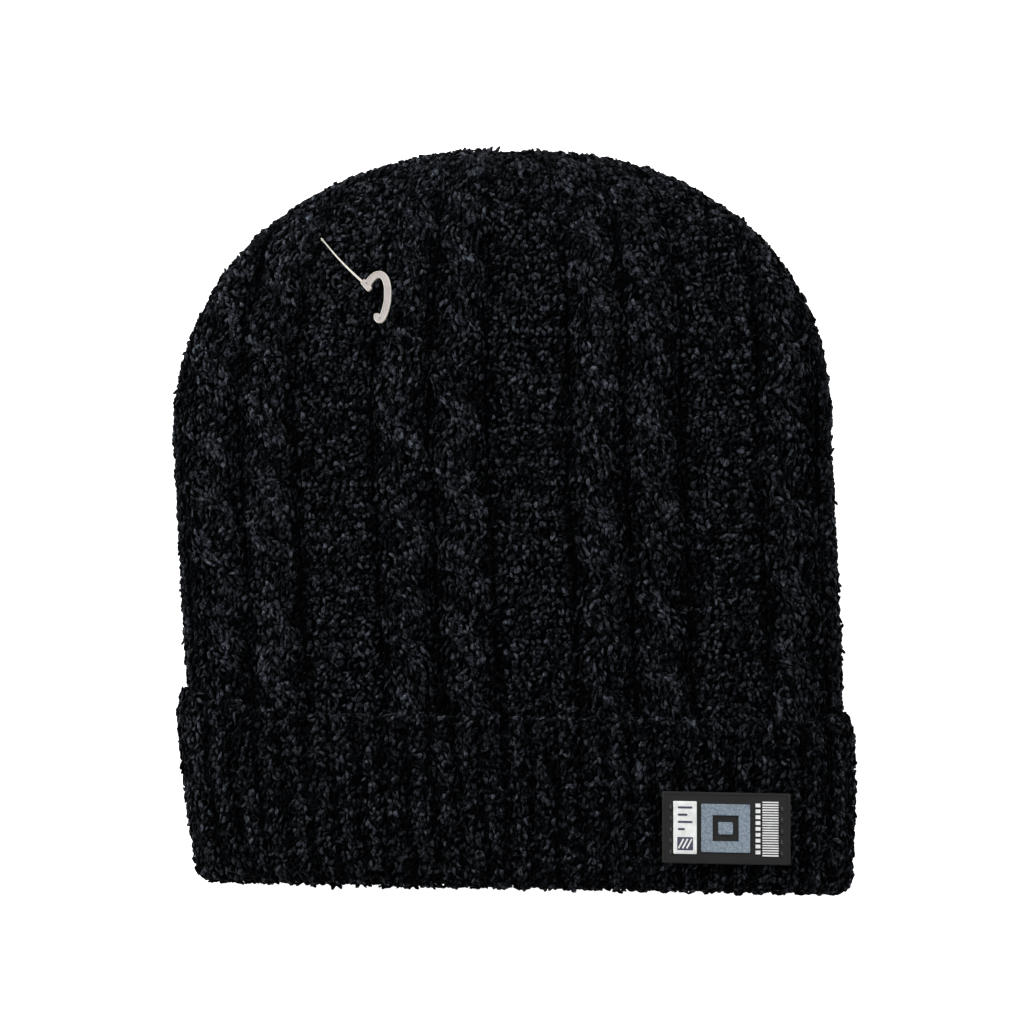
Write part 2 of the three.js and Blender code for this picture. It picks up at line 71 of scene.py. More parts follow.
gather_low, gather_high = (np.array(corner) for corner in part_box("crown_gather_yarn"))
crown_centre = (gather_low + gather_high) / 2
EDGE_HEIGHT = float(crown_centre[2])
CROWN_X = float(crown_centre[0])
CROWN_Y = float(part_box("knit_body")[1][1]) - CROWN_RISE
CUFF_RIM = -TUBE_LENGTH + CUFF_HEIGHT
FOLD_TOP = -TUBE_LENGTH + FOLD_WALL


def quarter_outline(roundness):
    """A quarter of a rounded outline in even steps of length, from the edge to the middle."""
    turn = np.linspace(0, math.pi / 2, OUTLINE_STEPS)
    across, up = np.cos(turn) ** (2 / roundness), np.sin(turn) ** (2 / roundness)
    steps = np.hypot(np.diff(across) * HALF_WIDTH, np.diff(up) * EDGE_HEIGHT)
    reached = np.append(0, np.cumsum(steps))
    even = np.linspace(0, reached[-1], QUARTER_STEPS)
    return np.interp(even, reached, across), np.interp(even, reached, up)


top_across, top_up = quarter_outline(TOP_ROUNDNESS)
back_across, back_up = quarter_outline(BACK_ROUNDNESS)
ring_across = np.concatenate([top_across, -top_across[::-1], -back_across, back_across[::-1]])
ring_up = np.concatenate([top_up, top_up[::-1], -back_up, -back_up[::-1]])
quarter = np.linspace(0, 0.25, QUARTER_STEPS)
ring_turn = np.concatenate([quarter, 0.25 + quarter, 0.5 + quarter, 0.75 + quarter])


def rounded(share, roundness):
    """Height of a rounded outline, 1 in its middle, at a share of the way to its edge."""
    return np.clip(1 - np.abs(share) ** roundness, 0, None) ** (1 / roundness)


def crown_climb(v):
    """How far up the crown height v reaches, from 0 at its base to 1 at its top."""
    return np.sin(np.clip(v / CROWN_SPAN, 0, 1) * math.pi / 2) ** (2 / LEFT_ROUNDNESS)


def hat_point(u, v, depth):
    """A place on the flattened hat: u turns round it from its right edge over the front, v is
    the height below (v < 0) or over (v > 0) the crown's base, depth goes in from its face."""
    across = np.interp(np.mod(u, 1), ring_turn, ring_across)
    up = np.interp(np.mod(u, 1), ring_turn, ring_up)
    tube_y = np.minimum(v, 0)
    down = -tube_y
    climb = crown_climb(v)
    outline = np.where(across < 0, rounded(climb, LEFT_ROUNDNESS), rounded(climb, RIGHT_ROUNDNESS))
    taper = (HALF_WIDTH - MOUTH_HALF_WIDTH) * (down / TUBE_LENGTH) ** 4
    x = TUBE_LEAN * down**2 / (down + LEAN_START) + (HALF_WIDTH - taper - depth) * outline * across
    slant = MOUTH_TILT * x * np.clip((CUFF_RIM - tube_y) / CUFF_HEIGHT, 0, 1)
    y = tube_y - slant + (CROWN_RISE - depth) * climb
    rise = rounded(climb, PROFILE_ROUNDNESS)
    lift = np.clip((tube_y - CUFF_RIM) / LIFT_RUN, 0, 1)
    floor = CUFF_OFFSET * (1 - lift * lift * (3 - 2 * lift)) + depth
    front = EDGE_HEIGHT + (THICKNESS - EDGE_HEIGHT - depth) * rise * up
    back = np.maximum(floor, EDGE_HEIGHT + (EDGE_HEIGHT - floor + BACK_SQUASH) * rise * up)
    z = np.where(up >= 0, front, back)
    return np.stack([x + CROWN_X, y + CROWN_Y, z], -1)


def gather_spread(v):
    """How much the columns of stitches spread from their flat face's middle as the crown narrows:
    they keep nearly upright and run out at its edge, rather than all meeting at the top."""
    outline = rounded(crown_climb(v), (LEFT_ROUNDNESS + RIGHT_ROUNDNESS) / 2)
    return np.maximum(outline, LEAST_OUTLINE) ** (GATHER_POWER - 1)


def gathered(u, v):
    """Where a column drawn at u lies at height v, and whether it is still on its own face."""
    turned = np.mod(u, 1)
    middle = np.where(turned < 0.5, 0.25, 0.75)
    share = (turned - middle) / 0.25 * gather_spread(v)
    return middle + np.clip(share, -1, 1) * 0.25, np.abs(share) <= 1.0


def unit(vectors):
    """The same directions, each of length 1."""
    return vectors / np.maximum(np.linalg.norm(vectors, axis=-1, keepdims=True), 1e-12)


def outward(place, u, v):
    """The outward direction of a surface place(u, v), from its slopes both ways."""
    along_u = place(u + 0.002, v) - place(u - 0.002, v)
    along_v = place(u, v + 0.0006) - place(u, v - 0.0006)
    return unit(np.cross(along_v, along_u))


def faces_turned_out(merge_within=0.0):
    """Turns the active piece's faces outwards, after merging any doubled corners."""
    bpy.ops.object.mode_set(mode="EDIT")
    bpy.ops.mesh.select_all(action="SELECT")
    if merge_within:
        bpy.ops.mesh.remove_doubles(threshold=merge_within)
    bpy.ops.mesh.normals_make_consistent(inside=False)
    bpy.ops.object.mode_set(mode="OBJECT")


def wrapped_sheet(name, place, u_steps, v_levels, wall):
    """A grid bent round the hat by place(u, v), joined up its side and given a wall inwards."""
    bpy.ops.mesh.primitive_grid_add(x_subdivisions=u_steps, y_subdivisions=len(v_levels) - 1, size=1)
    sheet = bpy.context.object
    sheet.name = sheet.data.name = name
    spots = np.array([corner.co[:2] for corner in sheet.data.vertices]) + 0.5
    v = np.interp(spots[:, 1], np.linspace(0, 1, len(v_levels)), v_levels)
    sheet.data.vertices.foreach_set("co", place(spots[:, 0], v).ravel())
    faces_turned_out(merge_within=0.00002)
    if wall:
        solid = sheet.modifiers.new("Wall", "SOLIDIFY")
        solid.thickness = wall
        solid.offset = -1
        bpy.ops.object.modifier_apply(modifier=solid.name)
    bpy.ops.object.shade_smooth()
    bpy.ops.object.select_all(action="DESELECT")
    return sheet


def new_material(name):
    """An empty finish: the material with its nodes and links."""
    made = bpy.data.materials.new(name)
    made.use_nodes = True
    return made, made.node_tree.nodes, made.node_tree.links


def noise_node(nodes, links, scale, detail=3.0):
    """Soft mottling laid through the piece, scale patches to the metre."""
    coords = nodes.get("Coordinates") or nodes.new("ShaderNodeTexCoord")
    coords.name = "Coordinates"
    noise = nodes.new("ShaderNodeTexNoise")
    noise.inputs["Scale"].default_value = scale
    noise.inputs["Detail"].default_value = detail
    links.new(coords.outputs["Object"], noise.inputs["Vector"])
    return noise


def ramp_node(nodes, links, source, dark_stop, light_stop):
    """Colours from a pattern: each stop is a level of the pattern and the colour there."""
    ramp = nodes.new("ShaderNodeValToRGB")
    for element, (level, colour) in zip(ramp.color_ramp.elements, (dark_stop, light_stop)):
        element.position = level
        element.color = (*colour, 1)
    links.new(source, ramp.inputs["Fac"])
    return ramp


def coloured(nodes, links, source, dark_stop, light_stop):
    """Colours the finish from a pattern."""
    colour = ramp_node(nodes, links, source, dark_stop, light_stop)
    links.new(colour.outputs["Color"], nodes["Principled BSDF"].inputs["Base Color"])


def bumped(nodes, links, source, height):
    """Raises the finish by a pattern, up to a height."""
    bump = nodes.new("ShaderNodeBump")
    bump.inputs["Distance"].default_value = height
    bump.inputs["Strength"].default_value = 1.0
    links.new(source, bump.inputs["Height"])
    links.new(bump.outputs["Normal"], nodes["Principled BSDF"].inputs["Normal"])


def shaded_ground_finish():
    """The ground between the tufts: the same black yarn, coloured close to black as painted shade."""
    made, nodes, links = new_material("knit_ground")
    shader = nodes["Principled BSDF"]
    grain = noise_node(nodes, links, 700)
    # Painted shade: the ground is coloured far darker than the yarn, standing in for the shade down
    # between the tufts.
    coloured(
        nodes, links, grain.outputs["Fac"],
        (0.3, (0.0004, 0.0004, 0.0006)), (0.7, (0.0014, 0.0016, 0.002)),
    )
    bumped(nodes, links, grain.outputs["Fac"], 0.0006)
    shader.inputs["Roughness"].default_value = 1.0
    shader.inputs["Specular IOR Level"].default_value = 0.006
    return made


def side_share(u):
    """How far round towards a side edge a place is: 0 over the front and back, 1 at the edge."""
    side = np.abs(np.interp(np.mod(u, 1), ring_turn, ring_across))
    return np.clip((side - SIDE_START) / SIDE_RUN, 0, 1)


def ground_depth(u, v):
    """How deep the ground lies: nearer the face at the crown and round the two side edges."""
    depth = GROUND_DEPTH + (CROWN_GROUND_DEPTH - GROUND_DEPTH) * np.clip(v / CROWN_SPAN, 0, 1) ** 0.8
    return depth * (1 - SIDE_GROUND_RISE * side_share(u))


def body_place(u, v):
    """A place on the tube's ground, which its tufts stand on."""
    return hat_point(u, v, ground_depth(u, v))


ground_shade_finish = shaded_ground_finish()
tube_levels = np.linspace(FOLD_TOP + 0.0004, 0, GROUND_ROWS, endpoint=False)
crown_levels = CROWN_SPAN * np.linspace(0, 1, CROWN_ROWS)
knit_ground = wrapped_sheet(
    "knit_ground", body_place, GROUND_ROUND, np.concatenate([tube_levels, crown_levels]), GROUND_WALL
)
knit_ground.data.materials.append(ground_shade_finish)
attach(knit_ground, "hat")
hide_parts("knit_body")


# ---------------------------------------------------------------------------------------
# Cables and panels of the tube. Chenille yarn is a core with short soft pile all round, so
# each stitch shows as a few plump tufts. A pair of two-strand rope cables, then a sunken
# purl panel, is repeated round the tube and drawn together at the crown.

REPEATS, PANEL_SHARE, FRONT_STRETCH, PANEL_OFFSET = 8, 0.413, 0.15, 0.0083
CABLE_HALF_SHARE = (1 - PANEL_SHARE) / 4
GROOVE_SHARE = 0.0135
BODY_FROM, BODY_TO = FOLD_TOP + 0.042, CROWN_SPAN * 0.9996

# The rope cables: where they cross, how far their strands swing, and how high they stand.
ROPE_HALF_TURN, CROSSINGS, CROSSING_STEP = 0.0218, (-0.0244, -0.0250), 0.006
TURN_STRETCH = (0.94, 1.08)
STRAND_SHARE, SWING_SHARPNESS, ARCH_REACH = 0.62, 1.7, 1.06
WANDER = 0.0004
BASE_LIFT, STRAND_LIFT, STRAND_ARCH, PANEL_LIFT = 0.0003, 0.0011, 0.0022, 0.0010
STITCH_ROW, STITCH_LIFT = 0.0034, 0.00025
BODY_SIDE_CUT, CUFF_SIDE_CUT = 0.74, 0.35

# The tufts, how they are set out in lanes, how far each strays, and their stray fibres.
TUFT_LENGTH, TUFT_WIDTH, TUFT_DEPTH = 0.0033, 0.00168, 0.00100
SIDE_CURL, DOWN_CURL = 1.3, 1.0
LANE_PITCH, ROW_PITCH = 0.00128, 0.00186
TUFT_LIFT, LIFT_SPREAD, ROLL_SPREAD, SIZE_RANGE = 0.14, 0.28, 0.5, (0.7, 1.3)
ROPE_STRAY, PANEL_STRAY = (0.0004, 0.0003), (0.0004, 0.00032)
FUZZ_LENGTH, FUZZ_WIDTH, FUZZ_SHARE, FUZZ_TONE = 0.0015, 0.00009, 0.6, 0.75
DULLEST, DULL_POWER = 0.2, 1.7
STREAKS, STREAK_LENGTHS = 6.5, 1.6
LOWEST = 0.00015


def tuft_shape():
    """One tuft: a small plump spindle, fuller towards its tip and bent a little."""
    bpy.ops.mesh.primitive_uv_sphere_add(segments=5, ring_count=4, radius=0.5)
    tuft = bpy.context.object
    bpy.ops.object.mode_set(mode="EDIT")
    bpy.ops.mesh.select_all(action="SELECT")
    bpy.ops.transform.rotate(value=math.pi / 2, orient_axis="X", center_override=(0, 0, 0))
    bpy.ops.object.mode_set(mode="OBJECT")
    corners = np.array([corner.co[:] for corner in tuft.data.vertices])
    along = corners[:, 1]
    corners[:, [0, 2]] *= (0.95 + 0.55 * along)[:, None]
    corners[:, 0] += SIDE_CURL * (along**2)
    corners[:, 2] -= DOWN_CURL * (along**2)
    faces = [list(face.vertices) for face in tuft.data.polygons]
    bpy.data.objects.remove(tuft, do_unlink=True)
    return corners, faces


def fuzz_shape():
    """One stray pile fibre: a thin closed three-sided spike."""
    bpy.ops.mesh.primitive_cone_add(vertices=3, radius1=0.5, radius2=0, depth=1)
    fibre = bpy.context.object
    corners = np.array([corner.co[:] for corner in fibre.data.vertices])
    corners[:, 2] += 0.5
    faces = [list(face.vertices) for face in fibre.data.polygons]
    bpy.data.objects.remove(fibre, do_unlink=True)
    return corners, faces


TUFT = tuft_shape()
FUZZ = fuzz_shape()
# Painted shade on each tuft: lighter on its top and towards its tip, darker underneath and at its
# bent-down ends, as light from above falls on it.
PAINTED_TUFT_SHADE = np.clip(0.37 + 1.25 * TUFT[0][:, 2] + 0.25 * TUFT[0][:, 1], 0.01, 1)


def stamped(shape, places, axes):
    """Copies of a shape at many places; axes holds each copy's own three scaled directions."""
    corners, faces = shape
    return places[:, None, :] + np.einsum("vk,nkc->nvc", corners, axes), faces


def face_cells(faces):
    """Map places for a copy's faces: each face a small square in a grid inside the copy's cell."""
    columns = math.ceil(math.sqrt(len(faces)))
    places = []
    for number, face in enumerate(faces):
        left, low = number % columns, number // columns
        square = [(0.1, 0.1), (0.9, 0.1), (0.9, 0.9), (0.1, 0.9)][: len(face)]
        places += [((left + a) / columns, (low + b) / columns) for a, b in square]
    return np.array(places)


def mesh_of_copies(name, groups):
    """One mesh from groups of copies, with a map on which every copy has its own cell."""
    vertex_total = sum(group[0].shape[0] * group[0].shape[1] for group in groups)
    cells = sum(len(group[0]) for group in groups)
    columns = math.ceil(math.sqrt(cells))
    coords, loops, starts, maps = [], [], [], []
    vertex, loop, cell = 0, 0, 0
    for copies, faces, _, _ in groups:
        count, corner_count = copies.shape[:2]
        flat = np.concatenate([np.array(face) for face in faces])
        sizes = np.array([len(face) for face in faces])
        first = np.concatenate([[0], np.cumsum(sizes)[:-1]])
        coords.append(copies.reshape(-1, 3))
        shift = vertex + np.arange(count)[:, None] * corner_count
        loops.append((flat[None, :] + shift).ravel())
        starts.append((first[None, :] + loop + np.arange(count)[:, None] * len(flat)).ravel())
        places = face_cells(faces)
        number = cell + np.arange(count)
        low = np.stack([number % columns, number // columns], -1)[:, None, :]
        maps.append(((low + 0.04 + 0.92 * places[None]) / columns).reshape(-1, 2))
        vertex += count * corner_count
        loop += count * len(flat)
        cell += count
    mesh = bpy.data.meshes.new(name)
    mesh.vertices.add(vertex_total)
    mesh.vertices.foreach_set("co", np.concatenate(coords).ravel())
    loops, starts = np.concatenate(loops), np.concatenate(starts)
    mesh.loops.add(len(loops))
    mesh.loops.foreach_set("vertex_index", loops.astype(np.int32))
    mesh.polygons.add(len(starts))
    mesh.polygons.foreach_set("loop_start", starts.astype(np.int32))
    mesh.polygons.foreach_set("use_smooth", np.ones(len(starts), bool))
    layer = mesh.uv_layers.new(name="OFBake", do_init=False)
    layer.uv.foreach_set("vector", np.concatenate(maps).astype(np.float32).ravel())
    shade = mesh.attributes.new("shade", "FLOAT", "POINT")
    shade.data.foreach_set("value", np.concatenate([tone.ravel() for _, _, tone, _ in groups]))
    streak = mesh.attributes.new("streak", "FLOAT_VECTOR", "POINT")
    streak.data.foreach_set("vector", np.concatenate([lines.ravel() for _, _, _, lines in groups]))
    mesh.update(calc_edges=True)
    made = bpy.data.objects.new(name, mesh)
    bpy.context.collection.objects.link(made)
    return made


v_table = np.concatenate([np.linspace(-TUBE_LENGTH, 0, 60), CROWN_SPAN * np.linspace(0.005, 1, 120)])
u_table = np.linspace(0, 1, 360)
table_rings = hat_point(u_table[None, :], v_table[:, None], GROUND_DEPTH)
girth_table = np.linalg.norm(np.diff(table_rings, axis=1), axis=-1).sum(1)


def girth(v):
    """The length once round the tube or crown at height v."""
    return np.interp(v, v_table, girth_table)


FULL_GIRTH = float(girth(0.0))


def lane(place, u_path, height, v_from, v_to, pitch, rng):
    """Spots in even steps along a line of stitches: place, direction, side, outwards, and v."""
    v = np.linspace(v_from, v_to, 700)
    u = u_path(v)
    on_face = np.ones(len(v), bool)
    side_cut = CUFF_SIDE_CUT
    if place is body_place:
        u, on_face = gathered(u, v)
        side_cut = BODY_SIDE_CUT
    if not on_face.all():
        last = max(2, int(np.argmin(on_face)))
        u, v = u[:last], v[:last]
    out = outward(place, u, v)
    line = place(u, v) + out * (height(v) * (1 - side_cut * side_share(u)))[:, None]
    reached = np.append(0, np.cumsum(np.linalg.norm(np.diff(line, axis=0), axis=1)))
    steps = np.arange(rng.uniform(0, pitch), reached[-1], pitch)
    steps = steps + rng.uniform(-0.3, 0.3, len(steps)) * pitch
    pick = lambda values: np.stack([np.interp(steps, reached, column) for column in values.T], -1)
    spots = pick(line)
    ahead = unit(pick(np.gradient(line, axis=0)))
    outs = pick(out)
    outs = unit(outs - ahead * (outs * ahead).sum(-1, keepdims=True))
    return spots, ahead, np.cross(ahead, outs), outs, np.interp(steps, reached, v)


def tuft_axes(ahead, side, out, rng, yaw, size, length):
    """Each tuft's scaled directions, turned by a random yaw, lift and roll."""
    count = len(ahead)
    turn = rng.normal(0, 1, count) * yaw + math.pi * rng.integers(0, 2, count)
    lift = rng.normal(TUFT_LIFT, LIFT_SPREAD, count)
    roll = rng.normal(0, ROLL_SPREAD, count)
    forward = ahead * np.cos(turn)[:, None] + side * np.sin(turn)[:, None]
    sideways = unit(np.cross(forward, out))
    up = np.cross(sideways, forward)
    forward, up = (
        forward * np.cos(lift)[:, None] + up * np.sin(lift)[:, None],
        up * np.cos(lift)[:, None] - forward * np.sin(lift)[:, None],
    )
    sideways, up = (
        sideways * np.cos(roll)[:, None] + up * np.sin(roll)[:, None],
        up * np.cos(roll)[:, None] - sideways * np.sin(roll)[:, None],
    )
    grow = rng.uniform(*SIZE_RANGE, (count, 3)) * size
    scale = grow * [TUFT_WIDTH, TUFT_LENGTH * length, TUFT_DEPTH]
    return np.stack([sideways * scale[:, :1], forward * scale[:, 1:2], up * scale[:, 2:]], 1)


def strayed(spots, side, out, rng, stray):
    """Tufts moved a little off their lane, by a usual distance sideways and outwards."""
    spots = spots + side * rng.normal(0, stray[0], (len(spots), 1))
    return spots + out * rng.normal(0, stray[1], (len(spots), 1))


def fuzz_on(spots, axes, out, rng):
    """Stray fibres that stand out of some of the tufts, mostly along them."""
    chosen = rng.random(len(spots)) < FUZZ_SHARE
    spots, axes, out = spots[chosen], axes[chosen], out[chosen]
    along = unit(axes[:, 1])
    sweep = rng.uniform(-1, 1, (len(spots), 1))
    aim = unit(along * sweep + out * 0.75 + rng.normal(0, 0.45, spots.shape))
    side = unit(np.cross(aim, out + 0.01))
    other = np.cross(aim, side)
    length = FUZZ_LENGTH * rng.uniform(0.5, 1.3, (len(spots), 1))
    root = spots + axes[:, 2] * 0.2 + along * rng.uniform(-0.4, 0.4, (len(spots), 1)) * TUFT_LENGTH
    return stamped(FUZZ, root, np.stack([side * FUZZ_WIDTH, other * FUZZ_WIDTH, aim * length], 1))


def fibre_lines(corners, count, rng):
    """Where each corner lies across and along its own tuft, for the lines of pile on it."""
    lines = corners * [STREAKS, STREAK_LENGTHS, STREAKS]
    return lines[None, :, :] + rng.uniform(-50, 50, (count, 1, 3))


def yarn_piece(name, parts, rng):
    """One piece of the knit from many runs of tufts, with its stray fibres."""
    spots, axes, out, lit = (np.concatenate([part[i] for part in parts]) for i in range(4))
    tufts, tuft_faces = stamped(TUFT, spots, axes)
    fibres, fibre_faces = fuzz_on(spots, axes, out, rng)
    for copies in (tufts, fibres):
        copies[..., 2] = np.maximum(copies[..., 2], LOWEST)
    # Each tuft's painted light and shade from its lane, times a random tone of its own.
    own = lit * (DULLEST + (1 - DULLEST) * rng.random(len(spots)) ** DULL_POWER)
    tuft_shades = own[:, None] * PAINTED_TUFT_SHADE[None, :]
    fibre_shades = np.full(fibres.shape[:2], FUZZ_TONE)
    made = mesh_of_copies(
        name,
        [
            (tufts, tuft_faces, tuft_shades, fibre_lines(TUFT[0], len(tufts), rng)),
            (fibres, fibre_faces, fibre_shades, fibre_lines(FUZZ[0], len(fibres), rng)),
        ],
    )
    made.data.materials.append(yarn_finish)
    return made


def spread_between(nodes, links, source, levels, low, high):
    """Stretches a pattern, so that it runs from low to high between two of its own levels."""
    spread = nodes.new("ShaderNodeMapRange")
    spread.inputs["From Min"].default_value = levels[0]
    spread.inputs["From Max"].default_value = levels[1]
    spread.inputs["To Min"].default_value = low
    spread.inputs["To Max"].default_value = high
    links.new(source, spread.inputs["Value"])
    return spread.outputs["Result"]


def multiplied(nodes, links, first, second):
    """One pattern darkened by another."""
    product = nodes.new("ShaderNodeMath")
    product.operation = "MULTIPLY"
    links.new(first, product.inputs[0])
    links.new(second, product.inputs[1])
    return product.outputs["Value"]


def mixed_colours(nodes, links, share, first, second):
    """A finish coloured from one ramp to another by a share."""
    blend = nodes.new("ShaderNodeMix")
    blend.data_type = "RGBA"
    links.new(share, blend.inputs["Factor"])
    links.new(first.outputs["Color"], blend.inputs["A"])
    links.new(second.outputs["Color"], blend.inputs["B"])
    links.new(blend.outputs["Result"], nodes["Principled BSDF"].inputs["Base Color"])


def chenille_finish():
    """Black chenille: soft cool pile, broken up by flecks and by lines of pile along the tuft.
    Painted light and shade from the shade attribute make each tuft lighter at its tip and nearly
    black at its root, and larger patches of painted shade lie over the pile."""
    made, nodes, links = new_material("chenille_yarn")
    shader = nodes["Principled BSDF"]
    shade = nodes.new("ShaderNodeAttribute")
    shade.attribute_name = "shade"
    fleck = noise_node(nodes, links, 1100, 4)
    flecks = spread_between(nodes, links, fleck.outputs["Fac"], (0.36, 0.64), 0.4, 1.0)
    tone = multiplied(nodes, links, shade.outputs["Fac"], flecks)
    streak = nodes.new("ShaderNodeAttribute")
    streak.attribute_name = "streak"
    line = nodes.new("ShaderNodeTexNoise")
    line.inputs["Scale"].default_value = 1.0
    line.inputs["Detail"].default_value = 2.0
    links.new(streak.outputs["Vector"], line.inputs["Vector"])
    pile_lines = spread_between(nodes, links, line.outputs["Fac"], (0.36, 0.60), 0.30, 1.35)
    tone = multiplied(nodes, links, tone, pile_lines)
    # Painted shade: larger lighter and darker patches, standing in for stitches catching the light and the
    # shaded dips between them.
    shade_patch = noise_node(nodes, links, 210, 2)
    shade_patches = spread_between(nodes, links, shade_patch.outputs["Fac"], (0.36, 0.62), 0.62, 1.08)
    tone = multiplied(nodes, links, tone, shade_patches)
    # The darkest stop takes the painted shade at the tufts' roots and undersides.
    root = (0.05, (0.0003, 0.0004, 0.0006))
    cool = ramp_node(nodes, links, tone, root, (0.8, (0.102, 0.121, 0.143)))
    warm = ramp_node(nodes, links, tone, root, (0.8, (0.100, 0.107, 0.134)))
    cast = noise_node(nodes, links, 90, 2)
    mixed_colours(nodes, links, cast.outputs["Fac"], cool, warm)
    bumped(nodes, links, noise_node(nodes, links, 2600, 2).outputs["Fac"], 0.0004)
    shader.inputs["Roughness"].default_value = 0.9
    shader.inputs["Specular IOR Level"].default_value = 0.012
    shader.inputs["Sheen Weight"].default_value = 0.016
    shader.inputs["Sheen Roughness"].default_value = 0.45
    shader.inputs["Sheen Tint"].default_value = (0.75, 0.82, 0.9, 1)
    return made


yarn_finish = chenille_finish()


def repeat_u(position):
    """Turns round the hat for a count of repeats, wider on the front than on the back."""
    share = position / REPEATS
    return 0.25 - share - FRONT_STRETCH / (2 * math.pi) * np.sin(2 * math.pi * share)


FIRST_PANEL = PANEL_OFFSET / (FULL_GIRTH / REPEATS * (1 + FRONT_STRETCH))


def kept_by_girth(number, v):
    """Lanes end one by one, as the crown's decreases do, where they would crowd together: odd
    ones first, then every other one of those left, and the longest reach the top."""
    longest = 16
    step = abs(number)
    stride = min(step & -step, longest) if step else longest
    return girth(v) / FULL_GIRTH * gather_spread(v) * stride >= 0.6


def relief_scale(v):
    """Cables flatten out as the crown draws them in."""
    return 0.35 + 0.65 * np.clip(girth(v) / FULL_GIRTH, 0, 1) * np.clip(1.15 - v / CROWN_SPAN * 0.75, 0, 1)


def stitch_shade(v, number):
    """Painted shade of rows of stitches: each loop lighter in its middle and darker where rows meet, where
    real rows sink.
    """
    return 0.74 + 0.26 * np.cos(2 * math.pi * (v / STITCH_ROW + 0.25 * abs(number)))


def lane_offsets(half_width):
    """Evenly spread lanes over a band: each lane's number and its distance from the middle."""
    each_side = max(1, round(half_width / LANE_PITCH))
    return [(number, number * half_width / each_side) for number in range(-each_side, each_side + 1)]


def groove_shade(edge, v):
    """Painted shade beside a groove, which fades where the crown draws the columns together."""
    return edge + (1 - edge) * 0.7 * np.clip(v / CROWN_SPAN * 1.4, 0, 1)


def rope_parts(centre, half_share, crossing, half_turn, rng):
    """The visible tufts of a two-strand rope cable: half_share is its half width in repeats,
    crossing a height at which its strands cross, half_turn the height between crossings."""
    width = half_share * FULL_GIRTH / REPEATS
    strand = STRAND_SHARE * width
    sway = (1 - STRAND_SHARE) * width
    wander = rng.uniform(0, 2 * math.pi, 3)

    def turn(v, start):
        """How far a strand has wound round the other."""
        return math.pi * (v - crossing) / half_turn + start + 0.35 * np.sin(v / 0.019 + wander[2])

    def swing(v, start):
        """How far a strand lies to the side of the rope's middle."""
        return -sway * np.tanh(SWING_SHARPNESS * np.sin(turn(v, start))) / math.tanh(SWING_SHARPNESS)

    def drift(v):
        """The rope's own small wander, as uneven stitches leave it."""
        return WANDER * (np.sin(v / 0.0115 + wander[0]) + 0.6 * np.sin(v / 0.0047 + wander[1]))

    def strand_height(v, start, arch):
        """How high a strand stands: more where it crosses over, and along its own middle."""
        return STRAND_LIFT * np.cos(turn(v, start)) + STRAND_ARCH * arch

    parts = []
    for start in (0.0, math.pi):
        for number, lateral in lane_offsets(strand):
            arch = math.sqrt(max(0, 1 - (lateral / (strand * ARCH_REACH)) ** 2))
            u_path = lambda v: repeat_u(
                centre + half_share * (swing(v, start) + lateral + drift(v)) / width
            )
            height = lambda v: relief_scale(v) * (BASE_LIFT + strand_height(v, start, arch))
            spots, ahead, side, out, v = lane(
                body_place, u_path, height, BODY_FROM, BODY_TO, ROW_PITCH, rng
            )
            reach = (swing(v, start) + lateral - swing(v, start + math.pi)) / (strand * ARCH_REACH)
            other_arch = np.sqrt(np.clip(1 - reach**2, 0, 1))
            other = np.where(np.abs(reach) < 1, strand_height(v, start + math.pi, other_arch), -1)
            mine = strand_height(v, start, arch)
            keep = (mine > other - 0.0003) & kept_by_girth(number, v)
            slope = float(np.clip(1.3 * STRAND_ARCH * lateral / (strand**2 * max(arch, 0.3)), -1, 1))
            tilted = unit(out + side * slope)
            axes = tuft_axes(ahead, np.cross(ahead, tilted), tilted, rng, 0.42, 1.0, 1.0)
            spots = strayed(spots, side, out, rng, ROPE_STRAY)
            # Painted light and shade: each strand darker towards its edges beside the grooves, lighter
            # where it crosses over the other, and darker between rows of stitches.
            over = 0.5 + 0.5 * np.cos(turn(v, start))
            edge = groove_shade(0.22 + 0.78 * arch**0.8, v)
            lit = edge * (0.70 + 0.40 * over) * stitch_shade(v, number)
            parts.append((spots[keep], axes[keep], out[keep], lit[keep]))
    for number, lateral in lane_offsets(width * 0.97):
        u_path = lambda v: repeat_u(centre + half_share * (lateral + drift(v)) / width)
        spots, ahead, side, out, v = lane(
            body_place, u_path, lambda v: BASE_LIFT * relief_scale(v), BODY_FROM, BODY_TO, ROW_PITCH, rng
        )
        clear = np.minimum(np.abs(lateral - swing(v, 0.0)), np.abs(lateral - swing(v, math.pi)))
        keep = (clear > strand * 0.93) & kept_by_girth(number, v)
        axes = tuft_axes(ahead, side, out, rng, 0.5, 0.95, 0.9)
        # The filler tufts, low between the strands, are coloured with painted shade: 0.30 of full light.
        parts.append((spots[keep], axes[keep], out[keep], np.full(int(keep.sum()), 0.30)))
    return parts


def panel_parts(centre, half_share, rng):
    """The small round purl bumps of a sunken panel."""
    width = half_share * FULL_GIRTH / REPEATS
    parts = []
    for number, lateral in lane_offsets(width * 0.97):
        across = lateral / width
        u_path = lambda v: repeat_u(centre + half_share * across) + 0 * v
        height = lambda v: relief_scale(v) * (
            PANEL_LIFT * (1 - 0.5 * across**4) + STITCH_LIFT * np.cos(2 * math.pi * v / STITCH_ROW)
        )
        spots, ahead, side, out, v = lane(
            body_place, u_path, height, BODY_FROM, BODY_TO, ROW_PITCH * 0.92, rng
        )
        keep = kept_by_girth(number, v)
        slant = rng.normal(0, 0.75, (len(v), 1))
        slanted = unit(ahead + side * slant)
        axes = tuft_axes(slanted, np.cross(slanted, out), out, rng, 0.3, 1.0, 0.78)
        spots = strayed(spots, side, out, rng, PANEL_STRAY)
        # Painted shade: the sunken panel a little darker than the cables, darker still at its edges beside
        # the grooves and between rows of stitches.
        lit = 0.88 * groove_shade(1 - 0.62 * across**8, v) * stitch_shade(v, 0)
        parts.append((spots[keep], axes[keep], out[keep], lit[keep]))
    return parts


